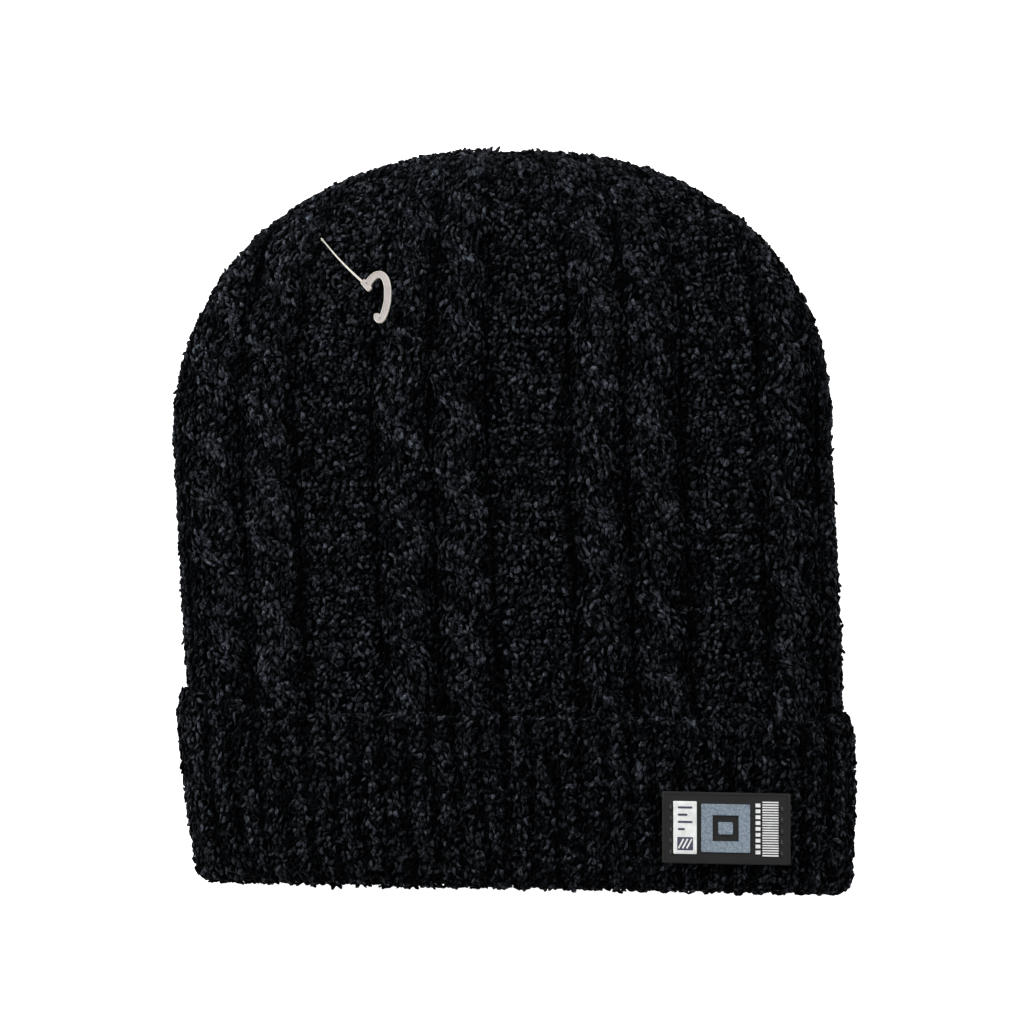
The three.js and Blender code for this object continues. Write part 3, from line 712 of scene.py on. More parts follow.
for number in range(REPEATS):
    rng = np.random.default_rng(100 + number)
    panel_centre = number + FIRST_PANEL
    cable_parts = []
    for side_number in (0, 1):
        cable_centre = panel_centre + PANEL_SHARE / 2 + CABLE_HALF_SHARE * (1 + 2 * side_number)
        crossing = CROSSINGS[number % 2] + CROSSING_STEP * side_number
        half_turn = ROPE_HALF_TURN * TURN_STRETCH[number % 2]
        cable_parts += rope_parts(
            cable_centre, CABLE_HALF_SHARE - GROOVE_SHARE, crossing, half_turn, rng
        )
    cable_pair = yarn_piece(f"cable_pair_{number + 1}", cable_parts, rng)
    purl_panel = yarn_piece(
        f"purl_panel_{number + 1}", panel_parts(panel_centre, PANEL_SHARE / 2 - GROOVE_SHARE, rng), rng
    )
    for piece in (cable_pair, purl_panel):
        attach(piece, "hat")
        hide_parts("knit_body")


# ---------------------------------------------------------------------------------------
# Turned-up cuff. The tube's own end in rib, folded up outside: narrow ribs side by side,
# a rounded top edge that stands off the body, and a soft round fold at the bottom.

CUFF_GROUND, FOLD_GROUND = 0.0023, 0.0015
RIB_PITCH, RIB_LANES, RIB_FILL = 0.0080, 6, 0.96
RIM_TILT = 0.0018
LEFT_RIM_RISE, LEFT_RISE_START = 0.0048, 0.64
SIDE_RIM_RISE, RIM_ROUND = 0.0034, 0.009
TUCK_OFFSET, TUCK_LENGTH, TUCK_CORNER = 0.0015, 0.007, 0.0006
RIB_STRAY, RIB_BASE, RIB_ARCH = (0.0003, 0.0003), 0.0002, 0.0016
INNER_CUT, INNER_RUN = 0.45, 0.003
CUFF_ROUND, CUFF_ROWS, CUFF_PIECES = 200, 60, 6

# The cuff's ground in section, as depth and height: tucked in behind the rim, down the outside
# and round the fold to the inside.
cuff_profile = [
    (-TUCK_OFFSET, CUFF_RIM - TUCK_LENGTH),
    (-TUCK_OFFSET, CUFF_RIM - CUFF_GROUND - TUCK_CORNER),
    (-CUFF_OFFSET + CUFF_GROUND, CUFF_RIM - CUFF_GROUND),
]
cuff_profile += [(-CUFF_OFFSET + CUFF_GROUND, y) for y in np.linspace(CUFF_RIM - 0.006, FOLD_TOP, 12)]
fold_middle, fold_half = (KNIT_WALL - CUFF_OFFSET) / 2, (KNIT_WALL + CUFF_OFFSET) / 2
for turn in np.linspace(math.pi, 0, 14)[1:]:
    fold_depth = fold_middle + (fold_half - CUFF_GROUND) * math.cos(turn)
    cuff_profile.append((fold_depth, FOLD_TOP - (FOLD_WALL - FOLD_GROUND) * math.sin(turn)))
cuff_profile = np.array(cuff_profile)
cuff_reached = np.append(0, np.cumsum(np.linalg.norm(np.diff(cuff_profile, axis=0), axis=1)))
CUFF_RUN = float(cuff_reached[-1])
FOLD_RUN = CUFF_RUN - math.pi * (fold_half - CUFF_GROUND + FOLD_WALL - FOLD_GROUND) / 2


def cuff_place(u, w):
    """A place on the cuff's ground: w runs down its outside and round the fold. The rim rises
    towards both sides of the hat, most of all at its left, and is rounded off there."""
    depth = np.interp(w, cuff_reached, cuff_profile[:, 0])
    y = np.interp(w, cuff_reached, cuff_profile[:, 1])
    across = np.interp(np.mod(u, 1), ring_turn, ring_across)
    up_cuff = np.clip((y - FOLD_TOP) / (CUFF_RIM - FOLD_TOP), 0, 1)
    left = np.clip((-across - LEFT_RISE_START) / (1 - LEFT_RISE_START), 0, 1)
    side = side_share(u)
    below_rim = np.clip((CUFF_RIM - CUFF_GROUND - y) / RIM_ROUND, 0, 1)
    drawn_in = np.maximum(1 - np.sqrt(1 - (1 - below_rim) ** 2), 0) * side
    depth = np.where(depth < 0, depth * (1 - drawn_in), depth)
    y = y + (LEFT_RIM_RISE * left + SIDE_RIM_RISE * side - RIM_TILT * across) * up_cuff
    return hat_point(u, y, depth)


cuff_rows = np.linspace(0, 1, CUFF_ROWS)
cuff_levels = np.interp(cuff_rows, np.linspace(0, 1, len(cuff_reached)), cuff_reached)
cuff_ground = wrapped_sheet("cuff_ground", cuff_place, CUFF_ROUND, cuff_levels, 0)
# The cuff's ground takes the same near-black painted shade.
cuff_ground.data.materials.append(ground_shade_finish)
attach(cuff_ground, "hat")
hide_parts("knit_cuff")

cuff_ring = cuff_place(u_table, np.full_like(u_table, 0.03))
cuff_girth = float(np.linalg.norm(np.diff(cuff_ring, axis=0), axis=1).sum())
RIBS = round(cuff_girth / RIB_PITCH)


def cuff_inside_out(u, w):
    """The cuff's ground run the other way, so that its tufts stand outwards."""
    return cuff_place(u, -w)


def rib_parts(rib, rng):
    """One rib: lanes of tufts from inside the rim, over it, down and round the fold."""
    parts = []
    for number in range(RIB_LANES):
        across = (number - (RIB_LANES - 1) / 2) / RIB_LANES * RIB_FILL
        u = 0.25 - (rib + across) / RIBS
        crown = math.cos(math.pi * across)
        height = lambda w: (RIB_BASE + RIB_ARCH * crown) * (
            1 - INNER_CUT * np.clip((-w - FOLD_RUN) / INNER_RUN, 0, 1)
        )
        spots, ahead, side, out, w = lane(
            cuff_inside_out, lambda w: u + 0 * w, height, -CUFF_RUN + 0.0004, -0.0005, ROW_PITCH, rng
        )
        axes = tuft_axes(ahead, side, out, rng, 0.50, 1.0, 0.94)
        spots = strayed(spots, side, out, rng, RIB_STRAY)
        # Painted shade: each rib darker towards its sides, down between the ribs, and between rows of
        # stitches.
        lit = (0.26 + 0.62 * crown) * stitch_shade(w, number)
        parts.append((spots, axes, out, lit))
    return parts


for number in range(CUFF_PIECES):
    rng = np.random.default_rng(300 + number)
    ribs = range(RIBS * number // CUFF_PIECES, RIBS * (number + 1) // CUFF_PIECES)
    parts = [part for rib in ribs for part in rib_parts(rib, rng)]
    cuff_piece = yarn_piece(f"cuff_ribs_{number + 1}", parts, rng)
    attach(cuff_piece, "hat")
    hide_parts("knit_cuff")


# ---------------------------------------------------------------------------------------
# Yarn that gathers the crown. A short loop of the same chenille, run through the last stitches
# and drawn tight inside the top.

GATHER_RADIUS = (gather_high[0] - gather_low[0]) / 2 - (gather_high[1] - gather_low[1]) / 2
YARN_RADIUS = float(gather_high[1] - gather_low[1]) / 2
LOOP_TUFTS = 240

rng = np.random.default_rng(400)
loop_turn = rng.uniform(0, 2 * math.pi, LOOP_TUFTS)
loop_roll = rng.uniform(0, 2 * math.pi, LOOP_TUFTS)
loop_out = np.stack([np.cos(loop_turn), 0 * loop_turn, np.sin(loop_turn)], -1)
loop_ahead = np.stack([-np.sin(loop_turn), 0 * loop_turn, np.cos(loop_turn)], -1)
tuft_out = loop_out * np.cos(loop_roll)[:, None] + np.array([0, 1, 0]) * np.sin(loop_roll)[:, None]
loop_spots = crown_centre + loop_out * GATHER_RADIUS + tuft_out * YARN_RADIUS * 0.55
loop_axes = tuft_axes(loop_ahead, np.cross(loop_ahead, tuft_out), tuft_out, rng, 0.4, 0.8, 0.9)
loop_part = (loop_spots, loop_axes, tuft_out, np.ones(LOOP_TUFTS))
gather_tufts = yarn_piece("gather_yarn_tufts", [loop_part], rng)
bpy.ops.mesh.primitive_torus_add(
    major_radius=GATHER_RADIUS, minor_radius=YARN_RADIUS * 0.6, major_segments=40, minor_segments=10,
    location=tuple(crown_centre), rotation=(math.pi / 2, 0, 0),
)
gather_core = bpy.context.object
gather_core.name = "gather_yarn_core"
bpy.ops.object.transform_apply(location=True, rotation=True, scale=True)
# The core under the loop's tufts takes the same near-black painted shade.
gather_core.data.materials.append(ground_shade_finish)
bpy.ops.object.select_all(action="DESELECT")
for piece in (gather_tufts, gather_core):
    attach(piece, "hat")
    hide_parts("crown_gather_yarn")


# ---------------------------------------------------------------------------------------
# Fleece lining: four gores of thin brushed fleece cut to the tube's shape, sewn edge to
# edge so that each seam is drawn in, and tacked inside the mouth.

LINING_OFFSET, LINING_WALL, LINING_EDGE_RISE, GATHER_ROOM = 0.0054, 0.0025, 0.003, 0.0038
SEAM_SHARE, SEAM_PUFF, SEAM_RIPPLE, NAP_UNEVEN = 0.0011, 0.0009, 0.0002, 0.00012
LINING_FROM = -TUBE_LENGTH + LINING_EDGE_RISE


def fleece_finish():
    """Black brushed fleece: short matted nap with small lighter curls."""
    made, nodes, links = new_material("fleece")
    shader = nodes["Principled BSDF"]
    nap = noise_node(nodes, links, 650, 5)
    coloured(
        nodes, links, nap.outputs["Fac"],
        (0.32, (0.003, 0.003, 0.004)), (0.68, (0.030, 0.031, 0.036)),
    )
    bumped(nodes, links, nap.outputs["Fac"], 0.0012)
    shader.inputs["Roughness"].default_value = 0.95
    shader.inputs["Specular IOR Level"].default_value = 0.1
    shader.inputs["Sheen Weight"].default_value = 0.05
    shader.inputs["Sheen Roughness"].default_value = 0.5
    return made


fleece = fleece_finish()


def lining_gore(name, first_turn):
    """A quarter of the lining between two seams, from its sewn edge to the crown."""
    bpy.ops.mesh.primitive_grid_add(x_subdivisions=40, y_subdivisions=90, size=1)
    gore = bpy.context.object
    gore.name = gore.data.name = name
    spots = np.array([corner.co[:2] for corner in gore.data.vertices]) + 0.5
    u = first_turn + SEAM_SHARE + spots[:, 0] * (0.25 - 2 * SEAM_SHARE)
    v = LINING_FROM + spots[:, 1] * (CROWN_SPAN * 0.97 - LINING_FROM)
    seam = np.minimum(spots[:, 0], 1 - spots[:, 0]) * 60
    ripple = SEAM_RIPPLE * np.sin(v / 0.0021 + first_turn) * np.exp(-seam / 3)
    puff = SEAM_PUFF * np.exp(-seam) + ripple
    nap = np.random.default_rng(500 + int(first_turn * 4)).normal(0, NAP_UNEVEN, len(u))
    room = GATHER_ROOM * np.clip(v / CROWN_SPAN, 0, 1)
    points = hat_point(u, v, LINING_OFFSET + LINING_WALL + room - 0.0003 - puff + nap)
    gore.data.vertices.foreach_set("co", points.ravel())
    faces_turned_out()
    solid = gore.modifiers.new("Wall", "SOLIDIFY")
    solid.thickness = LINING_WALL * 0.8
    solid.offset = 1
    bpy.ops.object.modifier_apply(modifier=solid.name)
    faces_turned_out()
    bpy.ops.object.shade_smooth()
    bpy.ops.object.select_all(action="DESELECT")
    gore.data.materials.append(fleece)
    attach(gore, "hat")
    return gore


for number, place in enumerate(("front_right", "front_left", "back_left", "back_right")):
    gore = lining_gore(f"gore_{place}", number / 4)
    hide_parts(f"lining_{place}")


# ---------------------------------------------------------------------------------------
# Overcast stitch at the mouth. One black polyester thread wound round the lining's edge,
# stitch by stitch, tacking it to the fold of the cuff.

STITCH_TURNS, TURN_STEPS = 96, 10
THREAD_RADIUS, STITCH_REACH, STITCH_RISE = 0.00045, 0.0016, 0.0017


def thread_finish(name, dark, light):
    """Twisted polyester thread, satin, with its plies showing as fine slanted lines."""
    made, nodes, links = new_material(name)
    shader = nodes["Principled BSDF"]
    plies = noise_node(nodes, links, 1800, 2)
    coloured(nodes, links, plies.outputs["Fac"], (0.35, dark), (0.65, light))
    bumped(nodes, links, plies.outputs["Fac"], 0.0002)
    shader.inputs["Roughness"].default_value = 0.5
    return made


def thread_through(name, points, radius, closed, sizes=None):
    """A round thread along points, made as a curve and turned into a mesh; sizes holds shares
    of its radius."""
    line = bpy.data.curves.new(name, "CURVE")
    line.dimensions = "3D"
    line.bevel_depth = radius
    line.bevel_resolution = 1
    line.use_fill_caps = True
    run = line.splines.new("POLY")
    run.points.add(len(points) - 1)
    run.points.foreach_set("co", np.column_stack([points, np.ones(len(points))]).ravel())
    if sizes is not None:
        run.points.foreach_set("radius", sizes)
    run.use_cyclic_u = closed
    thread = bpy.data.objects.new(name, line)
    bpy.context.collection.objects.link(thread)
    bpy.context.view_layer.objects.active = thread
    thread.select_set(True)
    bpy.ops.object.convert(target="MESH")
    faces_turned_out()
    bpy.ops.object.shade_smooth()
    bpy.ops.object.select_all(action="DESELECT")
    return thread


wind = np.linspace(0, 1, STITCH_TURNS * TURN_STEPS, endpoint=False)
wind_turn = 2 * math.pi * STITCH_TURNS * wind
stitch_depth = LINING_OFFSET + LINING_WALL / 2 + STITCH_REACH * np.cos(wind_turn)
stitch_v = LINING_FROM + 0.0002 + STITCH_RISE * np.sin(wind_turn)
edge_thread = thread_through(
    "edge_overcast_thread", hat_point(wind, stitch_v, stitch_depth), THREAD_RADIUS, True
)
black_thread = thread_finish("black_thread", (0.001, 0.001, 0.0015), (0.008, 0.008, 0.010))
edge_thread.data.materials.append(black_thread)
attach(edge_thread, "hat")
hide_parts("lining_edge_stitch")


# ---------------------------------------------------------------------------------------
# Rubber label. A moulded soft rubber plate, near black with an olive cast, bent to the cuff
# and sewn on through both ends. It has a fine raised rim round a flat field.

label_low, label_high = (np.array(corner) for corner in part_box("label_patch"))
LABEL_WIDTH, LABEL_HEIGHT, LABEL_THICKNESS, LABEL_CORNER = 0.0404, 0.0228, 0.0016, 0.0006
LABEL_X = float(label_low[0] + label_high[0]) / 2
LABEL_Y = float(label_low[1] + label_high[1]) / 2
LABEL_STANDOFF = 0.0009
PLATE_TOP = LABEL_STANDOFF + LABEL_THICKNESS
RIM_WIDTH, RIM_RAISED, RIM_INSET = 0.0005, 0.0002, 0.0003
SUNK = 0.0003


def on_cuff(right, up, out):
    """A place on the label: right and up from its middle, out from the cuff's face."""
    x = LABEL_X - CROWN_X + right
    v = LABEL_Y - CROWN_Y + up
    down = -v
    centre = TUBE_LEAN * down**2 / (down + LEAN_START)
    half = HALF_WIDTH - (HALF_WIDTH - MOUTH_HALF_WIDTH) * (down / TUBE_LENGTH) ** 4 + CUFF_OFFSET

    def face(across):
        """Height of the cuff's face at a distance from the hat's middle line."""
        share = (across - centre) / half
        return EDGE_HEIGHT + (THICKNESS - EDGE_HEIGHT + CUFF_OFFSET) * rounded(share, TOP_ROUNDNESS)

    slope = (face(x + 0.0005) - face(x - 0.0005)) / 0.001
    lean = unit(np.stack([-slope, 0 * slope, 1 + 0 * slope], -1))
    spot = np.stack([x + CROWN_X, v + CROWN_Y - MOUTH_TILT * right, face(x)], -1)
    return spot + lean * np.asarray(out)[..., None]


def bent_to_cuff(shape, middle_right, middle_up, low):
    """Bends a flat piece to the cuff: its own x is right, y is up and z is out."""
    corners = np.array([corner.co[:] for corner in shape.data.vertices])
    placed = on_cuff(middle_right + corners[:, 0], middle_up + corners[:, 1], low + corners[:, 2])
    shape.data.vertices.foreach_set("co", placed.ravel())
    shape.data.update()


def flat_plate(name, width, height, thick, corner, bevel, slices):
    """A flat plate with rounded corners in plan and softened edges, cut across for bending."""
    bpy.ops.mesh.primitive_grid_add(x_subdivisions=slices, y_subdivisions=6, size=1)
    plate = bpy.context.object
    plate.name = plate.data.name = name
    spots = np.array([point.co[:] for point in plate.data.vertices])
    spots[:, 0] = np.sin(spots[:, 0] * math.pi) * 0.5 * width
    spots[:, 1] = np.sin(spots[:, 1] * math.pi) * 0.5 * height
    inset = np.clip(np.abs(spots[:, 0]) - (width / 2 - corner), 0, None)
    cut = corner - np.sqrt(np.clip(corner**2 - inset**2, 0, None))
    spots[:, 1] *= (height / 2 - cut) / (height / 2)
    plate.data.vertices.foreach_set("co", spots.ravel())
    bpy.ops.object.mode_set(mode="EDIT")
    bpy.ops.mesh.select_all(action="SELECT")
    bpy.ops.mesh.extrude_region_move(TRANSFORM_OT_translate={"value": (0, 0, thick)})
    bpy.ops.object.mode_set(mode="OBJECT")
    faces_turned_out()
    soften = plate.modifiers.new("Soften", "BEVEL")
    soften.width = bevel
    soften.segments = 2
    soften.limit_method = "ANGLE"
    bpy.ops.object.modifier_apply(modifier=soften.name)
    bpy.ops.object.shade_smooth_by_angle(angle=math.radians(40))
    bpy.ops.object.select_all(action="DESELECT")
    return plate


def rubber_finish():
    """Matte moulded rubber, dark olive grey, finely grained and faintly rubbed."""
    made, nodes, links = new_material("label_rubber")
    shader = nodes["Principled BSDF"]
    cloud = noise_node(nodes, links, 120, 3)
    coloured(
        nodes, links, cloud.outputs["Fac"],
        (0.3, (0.0058, 0.0068, 0.0056)), (0.7, (0.0088, 0.0100, 0.0085)),
    )
    bumped(nodes, links, noise_node(nodes, links, 4000, 2).outputs["Fac"], 0.00006)
    shader.inputs["Roughness"].default_value = 0.62
    shader.inputs["Specular IOR Level"].default_value = 0.3
    return made


rubber = rubber_finish()
label_plate = flat_plate(
    "label_plate", LABEL_WIDTH, LABEL_HEIGHT, LABEL_THICKNESS, LABEL_CORNER, 0.0003, 40
)
bent_to_cuff(label_plate, 0, 0, LABEL_STANDOFF)
label_plate.data.materials.append(rubber)

label_pieces = [label_plate]
rim_right = LABEL_WIDTH / 2 - RIM_WIDTH / 2 - RIM_INSET
rim_up = LABEL_HEIGHT / 2 - RIM_WIDTH / 2 - RIM_INSET
rim_across = LABEL_WIDTH - 2 * RIM_INSET
rim_height = LABEL_HEIGHT - 0.0016
for name, width, height, right, up, slices in (
    ("rim_top", rim_across, RIM_WIDTH, 0, rim_up, 30),
    ("rim_bottom", rim_across, RIM_WIDTH, 0, -rim_up, 30),
    ("rim_left", RIM_WIDTH, rim_height, -rim_right, 0, 3),
    ("rim_right", RIM_WIDTH, rim_height, rim_right, 0, 3),
):
    bar = flat_plate(name, width, height, RIM_RAISED + SUNK, 0.0001, 0.00012, slices)
    bent_to_cuff(bar, right, up, PLATE_TOP - SUNK)
    bar.data.materials.append(rubber)
    label_pieces.append(bar)
for piece in label_pieces:
    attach(piece, "hat")
    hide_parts("label_patch")


# ---------------------------------------------------------------------------------------
# White panel of the label, moulded in white rubber with thin dark bars and a dark square
# with slanted stripes printed on it. Plain marks, spelling nothing.

PANEL_WIDTH, PANEL_HEIGHT, PANEL_INSET, RELIEF = 0.0074, 0.0168, 0.0035, 0.0005
PANEL_RIGHT = -LABEL_WIDTH / 2 + PANEL_INSET + PANEL_WIDTH / 2
PRINT_LOW, PRINT_THICK = PLATE_TOP + RELIEF - 0.0002, 0.00028
BAR_WIDTHS, BAR_HEIGHT, BAR_PITCH, FIRST_BAR_UP = (0.0046, 0.0030, 0.0046, 0.0022), 0.0007, 0.0023, 0.0064
SQUARE_WIDTH, SQUARE_HEIGHT, SQUARE_UP = 0.0050, 0.0042, -0.0051
STRIPES, STRIPE_SIZE, STRIPE_SLANT, STRIPE_PITCH = 3, (0.0005, 0.0034, 0.0002), 28, 0.0013


def print_finish(name, dark, light):
    """Even coloured rubber or ink with slight wear."""
    made, nodes, links = new_material(name)
    shader = nodes["Principled BSDF"]
    wear = noise_node(nodes, links, 500, 3)
    coloured(nodes, links, wear.outputs["Fac"], (0.3, dark), (0.7, light))
    bumped(nodes, links, wear.outputs["Fac"], 0.00005)
    shader.inputs["Roughness"].default_value = 0.5
    return made


white_rubber = print_finish("white_rubber", (0.62, 0.63, 0.62), (0.80, 0.81, 0.80))
dark_ink = print_finish("dark_ink", (0.030, 0.032, 0.06), (0.06, 0.062, 0.10))
panel_plate = flat_plate("white_panel", PANEL_WIDTH, PANEL_HEIGHT, RELIEF + SUNK, 0.0002, 0.00012, 10)
bent_to_cuff(panel_plate, PANEL_RIGHT, 0, PLATE_TOP - SUNK)
panel_plate.data.materials.append(white_rubber)
panel_pieces = [panel_plate]
for number, bar_width in enumerate(BAR_WIDTHS):
    bar = flat_plate(f"panel_bar_{number + 1}", bar_width, BAR_HEIGHT, PRINT_THICK, 0.0001, 0.00004, 5)
    shift = (bar_width - BAR_WIDTHS[0]) / 2 * (1 if number % 2 else -1)
    bent_to_cuff(bar, PANEL_RIGHT + shift, FIRST_BAR_UP - number * BAR_PITCH, PRINT_LOW)
    bar.data.materials.append(dark_ink)
    panel_pieces.append(bar)
square = flat_plate("panel_square", SQUARE_WIDTH, SQUARE_HEIGHT, PRINT_THICK, 0.0001, 0.00004, 5)
bent_to_cuff(square, PANEL_RIGHT, SQUARE_UP, PRINT_LOW)
square.data.materials.append(dark_ink)
panel_pieces.append(square)
for number in range(STRIPES):
    bpy.ops.mesh.primitive_cube_add(size=1)
    stripe = bpy.context.object
    stripe.name = f"square_stripe_{number + 1}"
    bpy.ops.object.mode_set(mode="EDIT")
    bpy.ops.transform.resize(value=STRIPE_SIZE, center_override=(0, 0, 0))
    bpy.ops.transform.rotate(value=math.radians(STRIPE_SLANT), orient_axis="Z", center_override=(0, 0, 0))
    bpy.ops.object.mode_set(mode="OBJECT")
    bent_to_cuff(stripe, PANEL_RIGHT + (number - 1) * STRIPE_PITCH, SQUARE_UP, PRINT_LOW + 0.00025)
    stripe.data.materials.append(white_rubber)
    bpy.ops.object.select_all(action="DESELECT")
    panel_pieces.append(stripe)
for piece in panel_pieces:
    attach(piece, "hat")
    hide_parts("label_panel")


# ---------------------------------------------------------------------------------------
# Silver block of the label: raised rubber faced with a woven-look metallic film, made as
# one open square round a smaller solid one.

BLOCK_WIDTH, BLOCK_HEIGHT, BLOCK_BAR, BLOCK_GAP = 0.0154, 0.0154, 0.0036, 0.0014
MIDDLE_WIDTH, MIDDLE_HEIGHT = 0.0046, 0.0040
BLOCK_RIGHT = PANEL_RIGHT + PANEL_WIDTH / 2 + BLOCK_GAP + BLOCK_WIDTH / 2


def film_finish():
    """Blue-grey metallic film with a fine square weave pressed into it."""
    made, nodes, links = new_material("silver_film")
    shader = nodes["Principled BSDF"]
    weave = nodes.new("ShaderNodeTexVoronoi")
    weave.inputs["Scale"].default_value = 1500
    coords = nodes.new("ShaderNodeTexCoord")
    coords.name = "Coordinates"
    links.new(coords.outputs["Object"], weave.inputs["Vector"])
    coloured(
        nodes, links, weave.outputs["Distance"],
        (0.1, (0.30, 0.37, 0.43)), (0.7, (0.16, 0.20, 0.25)),
    )
    bumped(nodes, links, weave.outputs["Distance"], 0.00008)
    shader.inputs["Metallic"].default_value = 0.35
    shader.inputs["Roughness"].default_value = 0.42
    return made


film = film_finish()
side_height = BLOCK_HEIGHT - 2 * BLOCK_BAR + 0.0004
side_right = (BLOCK_WIDTH - BLOCK_BAR) / 2
bar_up = (BLOCK_HEIGHT - BLOCK_BAR) / 2
for name, width, height, right, up, slices in (
    ("block_top", BLOCK_WIDTH, BLOCK_BAR, 0, bar_up, 16),
    ("block_bottom", BLOCK_WIDTH, BLOCK_BAR, 0, -bar_up, 16),
    ("block_left", BLOCK_BAR, side_height, -side_right, 0, 5),
    ("block_right", BLOCK_BAR, side_height, side_right, 0, 5),
    ("block_middle", MIDDLE_WIDTH, MIDDLE_HEIGHT, 0, 0, 5),
):
    bar = flat_plate(name, width, height, RELIEF + SUNK, 0.0003, 0.00015, slices)
    bent_to_cuff(bar, BLOCK_RIGHT + right, up, PLATE_TOP - SUNK)
    bar.data.materials.append(film)
    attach(bar, "hat")
    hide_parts("label_emblem")


# ---------------------------------------------------------------------------------------
# Ladder of the label. A column of thin white bars moulded on the plate, and a column of small
# white blocks where the real label has a line of print.

RUNGS, LADDER_LENGTH, LADDER_WIDTH, RUNG_HEIGHT, RUNG_THICK = 22, 0.0178, 0.0050, 0.00043, 0.0006
LADDER_RIGHT = LABEL_WIDTH / 2 - 0.0038 - LADDER_WIDTH / 2
BLOCKS, BLOCK_COLUMN, SMALL_WIDTH, SMALL_HEIGHT, SMALL_THICK = 9, 0.0168, 0.0015, 0.0012, 0.0005
SMALL_RIGHT = LADDER_RIGHT - LADDER_WIDTH / 2 - 0.0014


def printed_column(name, right, count, length, bar_size, thick, slices):
    """A column of equal bars, modelled as one bar and copied up its length."""
    bpy.ops.mesh.primitive_grid_add(x_subdivisions=slices, y_subdivisions=1, size=1)
    column = bpy.context.object
    column.name = column.data.name = name
    bpy.ops.object.mode_set(mode="EDIT")
    bpy.ops.transform.resize(value=(*bar_size, 1), center_override=(0, 0, 0))
    bpy.ops.mesh.extrude_region_move(TRANSFORM_OT_translate={"value": (0, 0, thick)})
    bpy.ops.object.mode_set(mode="OBJECT")
    faces_turned_out()
    row = column.modifiers.new("Row", "ARRAY")
    row.use_relative_offset = False
    row.use_constant_offset = True
    row.constant_offset_displace = (0, length / count, 0)
    row.count = count
    bpy.ops.object.modifier_apply(modifier=row.name)
    bpy.ops.object.select_all(action="DESELECT")
    bent_to_cuff(column, right, -length / 2 * (count - 1) / count, PLATE_TOP - SUNK)
    column.data.materials.append(white_rubber)
    return column


ladder_rungs = printed_column(
    "ladder_rungs", LADDER_RIGHT, RUNGS, LADDER_LENGTH, (LADDER_WIDTH, RUNG_HEIGHT), RUNG_THICK, 4
)
side_blocks = printed_column(
    "ladder_side_blocks", SMALL_RIGHT, BLOCKS, BLOCK_COLUMN, (SMALL_WIDTH, SMALL_HEIGHT), SMALL_THICK, 2
)
for piece in (ladder_rungs, side_blocks):
    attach(piece, "hat")
    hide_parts("label_ladder")


# ---------------------------------------------------------------------------------------
# Sewing of the label. Black thread goes up through the plate near each end and down again, in
# five stitches pulled tight over its face.

STITCHES, STITCH_INSET, STITCH_LENGTH, STITCH_RADIUS = 5, 0.0027, 0.0018, 0.00040
STITCH_ARC = ((0, -0.0006), (0.02, 0.6), (0.1, 1.05), (0.5, 1.15), (0.9, 1.05), (0.98, 0.6), (1, -0.0006))


def label_thread(name, end):
    """One end's stitches: up through the plate, over it and down again, and on below to the next.
    STITCH_ARC holds shares of a stitch's length and of the plate's thickness."""
    right = end * (LABEL_WIDTH / 2 - STITCH_INSET)
    points = []
    for number in range(STITCHES):
        start = (2 * number - STITCHES) * STITCH_LENGTH
        for share, rise in STITCH_ARC:
            out = LABEL_STANDOFF + LABEL_THICKNESS * rise
            points.append(on_cuff(np.float64(right), start + share * STITCH_LENGTH, out))
        points.append(on_cuff(np.float64(right), start + 1.5 * STITCH_LENGTH, LABEL_STANDOFF * 0.3))
    thread = thread_through(name, np.array(points), STITCH_RADIUS, False)
    thread.data.materials.append(black_thread)
    return thread


for side, end in (("left", -1), ("right", 1)):
    thread = label_thread(f"label_thread_{side}", end)
    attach(thread, "hat")
    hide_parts(f"label_stitch_{side}")


# ---------------------------------------------------------------------------------------
# Tag pin, clear nylon. Outside, a fine stem comes out of the knit at the pin's bend and
# runs to a flat moulded hook; inside, the stem goes on to a small cross bar.

pin_joints = {joint["name"]: joint for joint in frame["joints"]}
PIN_ORIGIN = np.array(pin_joints["tag_swing"]["pos_m"])
PIN_NORMAL = np.array(pin_joints["tag_swing"]["axis"])
PIN_LEFT = -np.array(pin_joints["tag_lift"]["axis"])
PIN_ALONG = np.cross(PIN_LEFT, PIN_NORMAL)
STEM_LENGTH, STEM_HEIGHT, STEM_RADIUS, STEM_SAG, STEM_STEPS = 0.0210, 0.0020, 0.00040, 0.0005, 24
HOOK_WIDTH, HOOK_THICKNESS = 0.0023, 0.0014
HOOK_LINE = [
    (0.4, 0.5), (0.0, 2.5), (0.1, 4.2), (1.0, 5.6), (2.5, 5.9), (4.5, 5.2), (6.7, 3.6),
    (9.0, 1.3), (10.7, -1.1), (11.8, -3.4), (11.7, -4.6), (10.5, -4.5), (9.6, -3.7),
]


def pin_spot(along, left, high):
    """A point measured from the pin's bend: along the stem, to its left and off the knit."""
    return PIN_ORIGIN + PIN_ALONG * along + PIN_LEFT * left + PIN_NORMAL * high


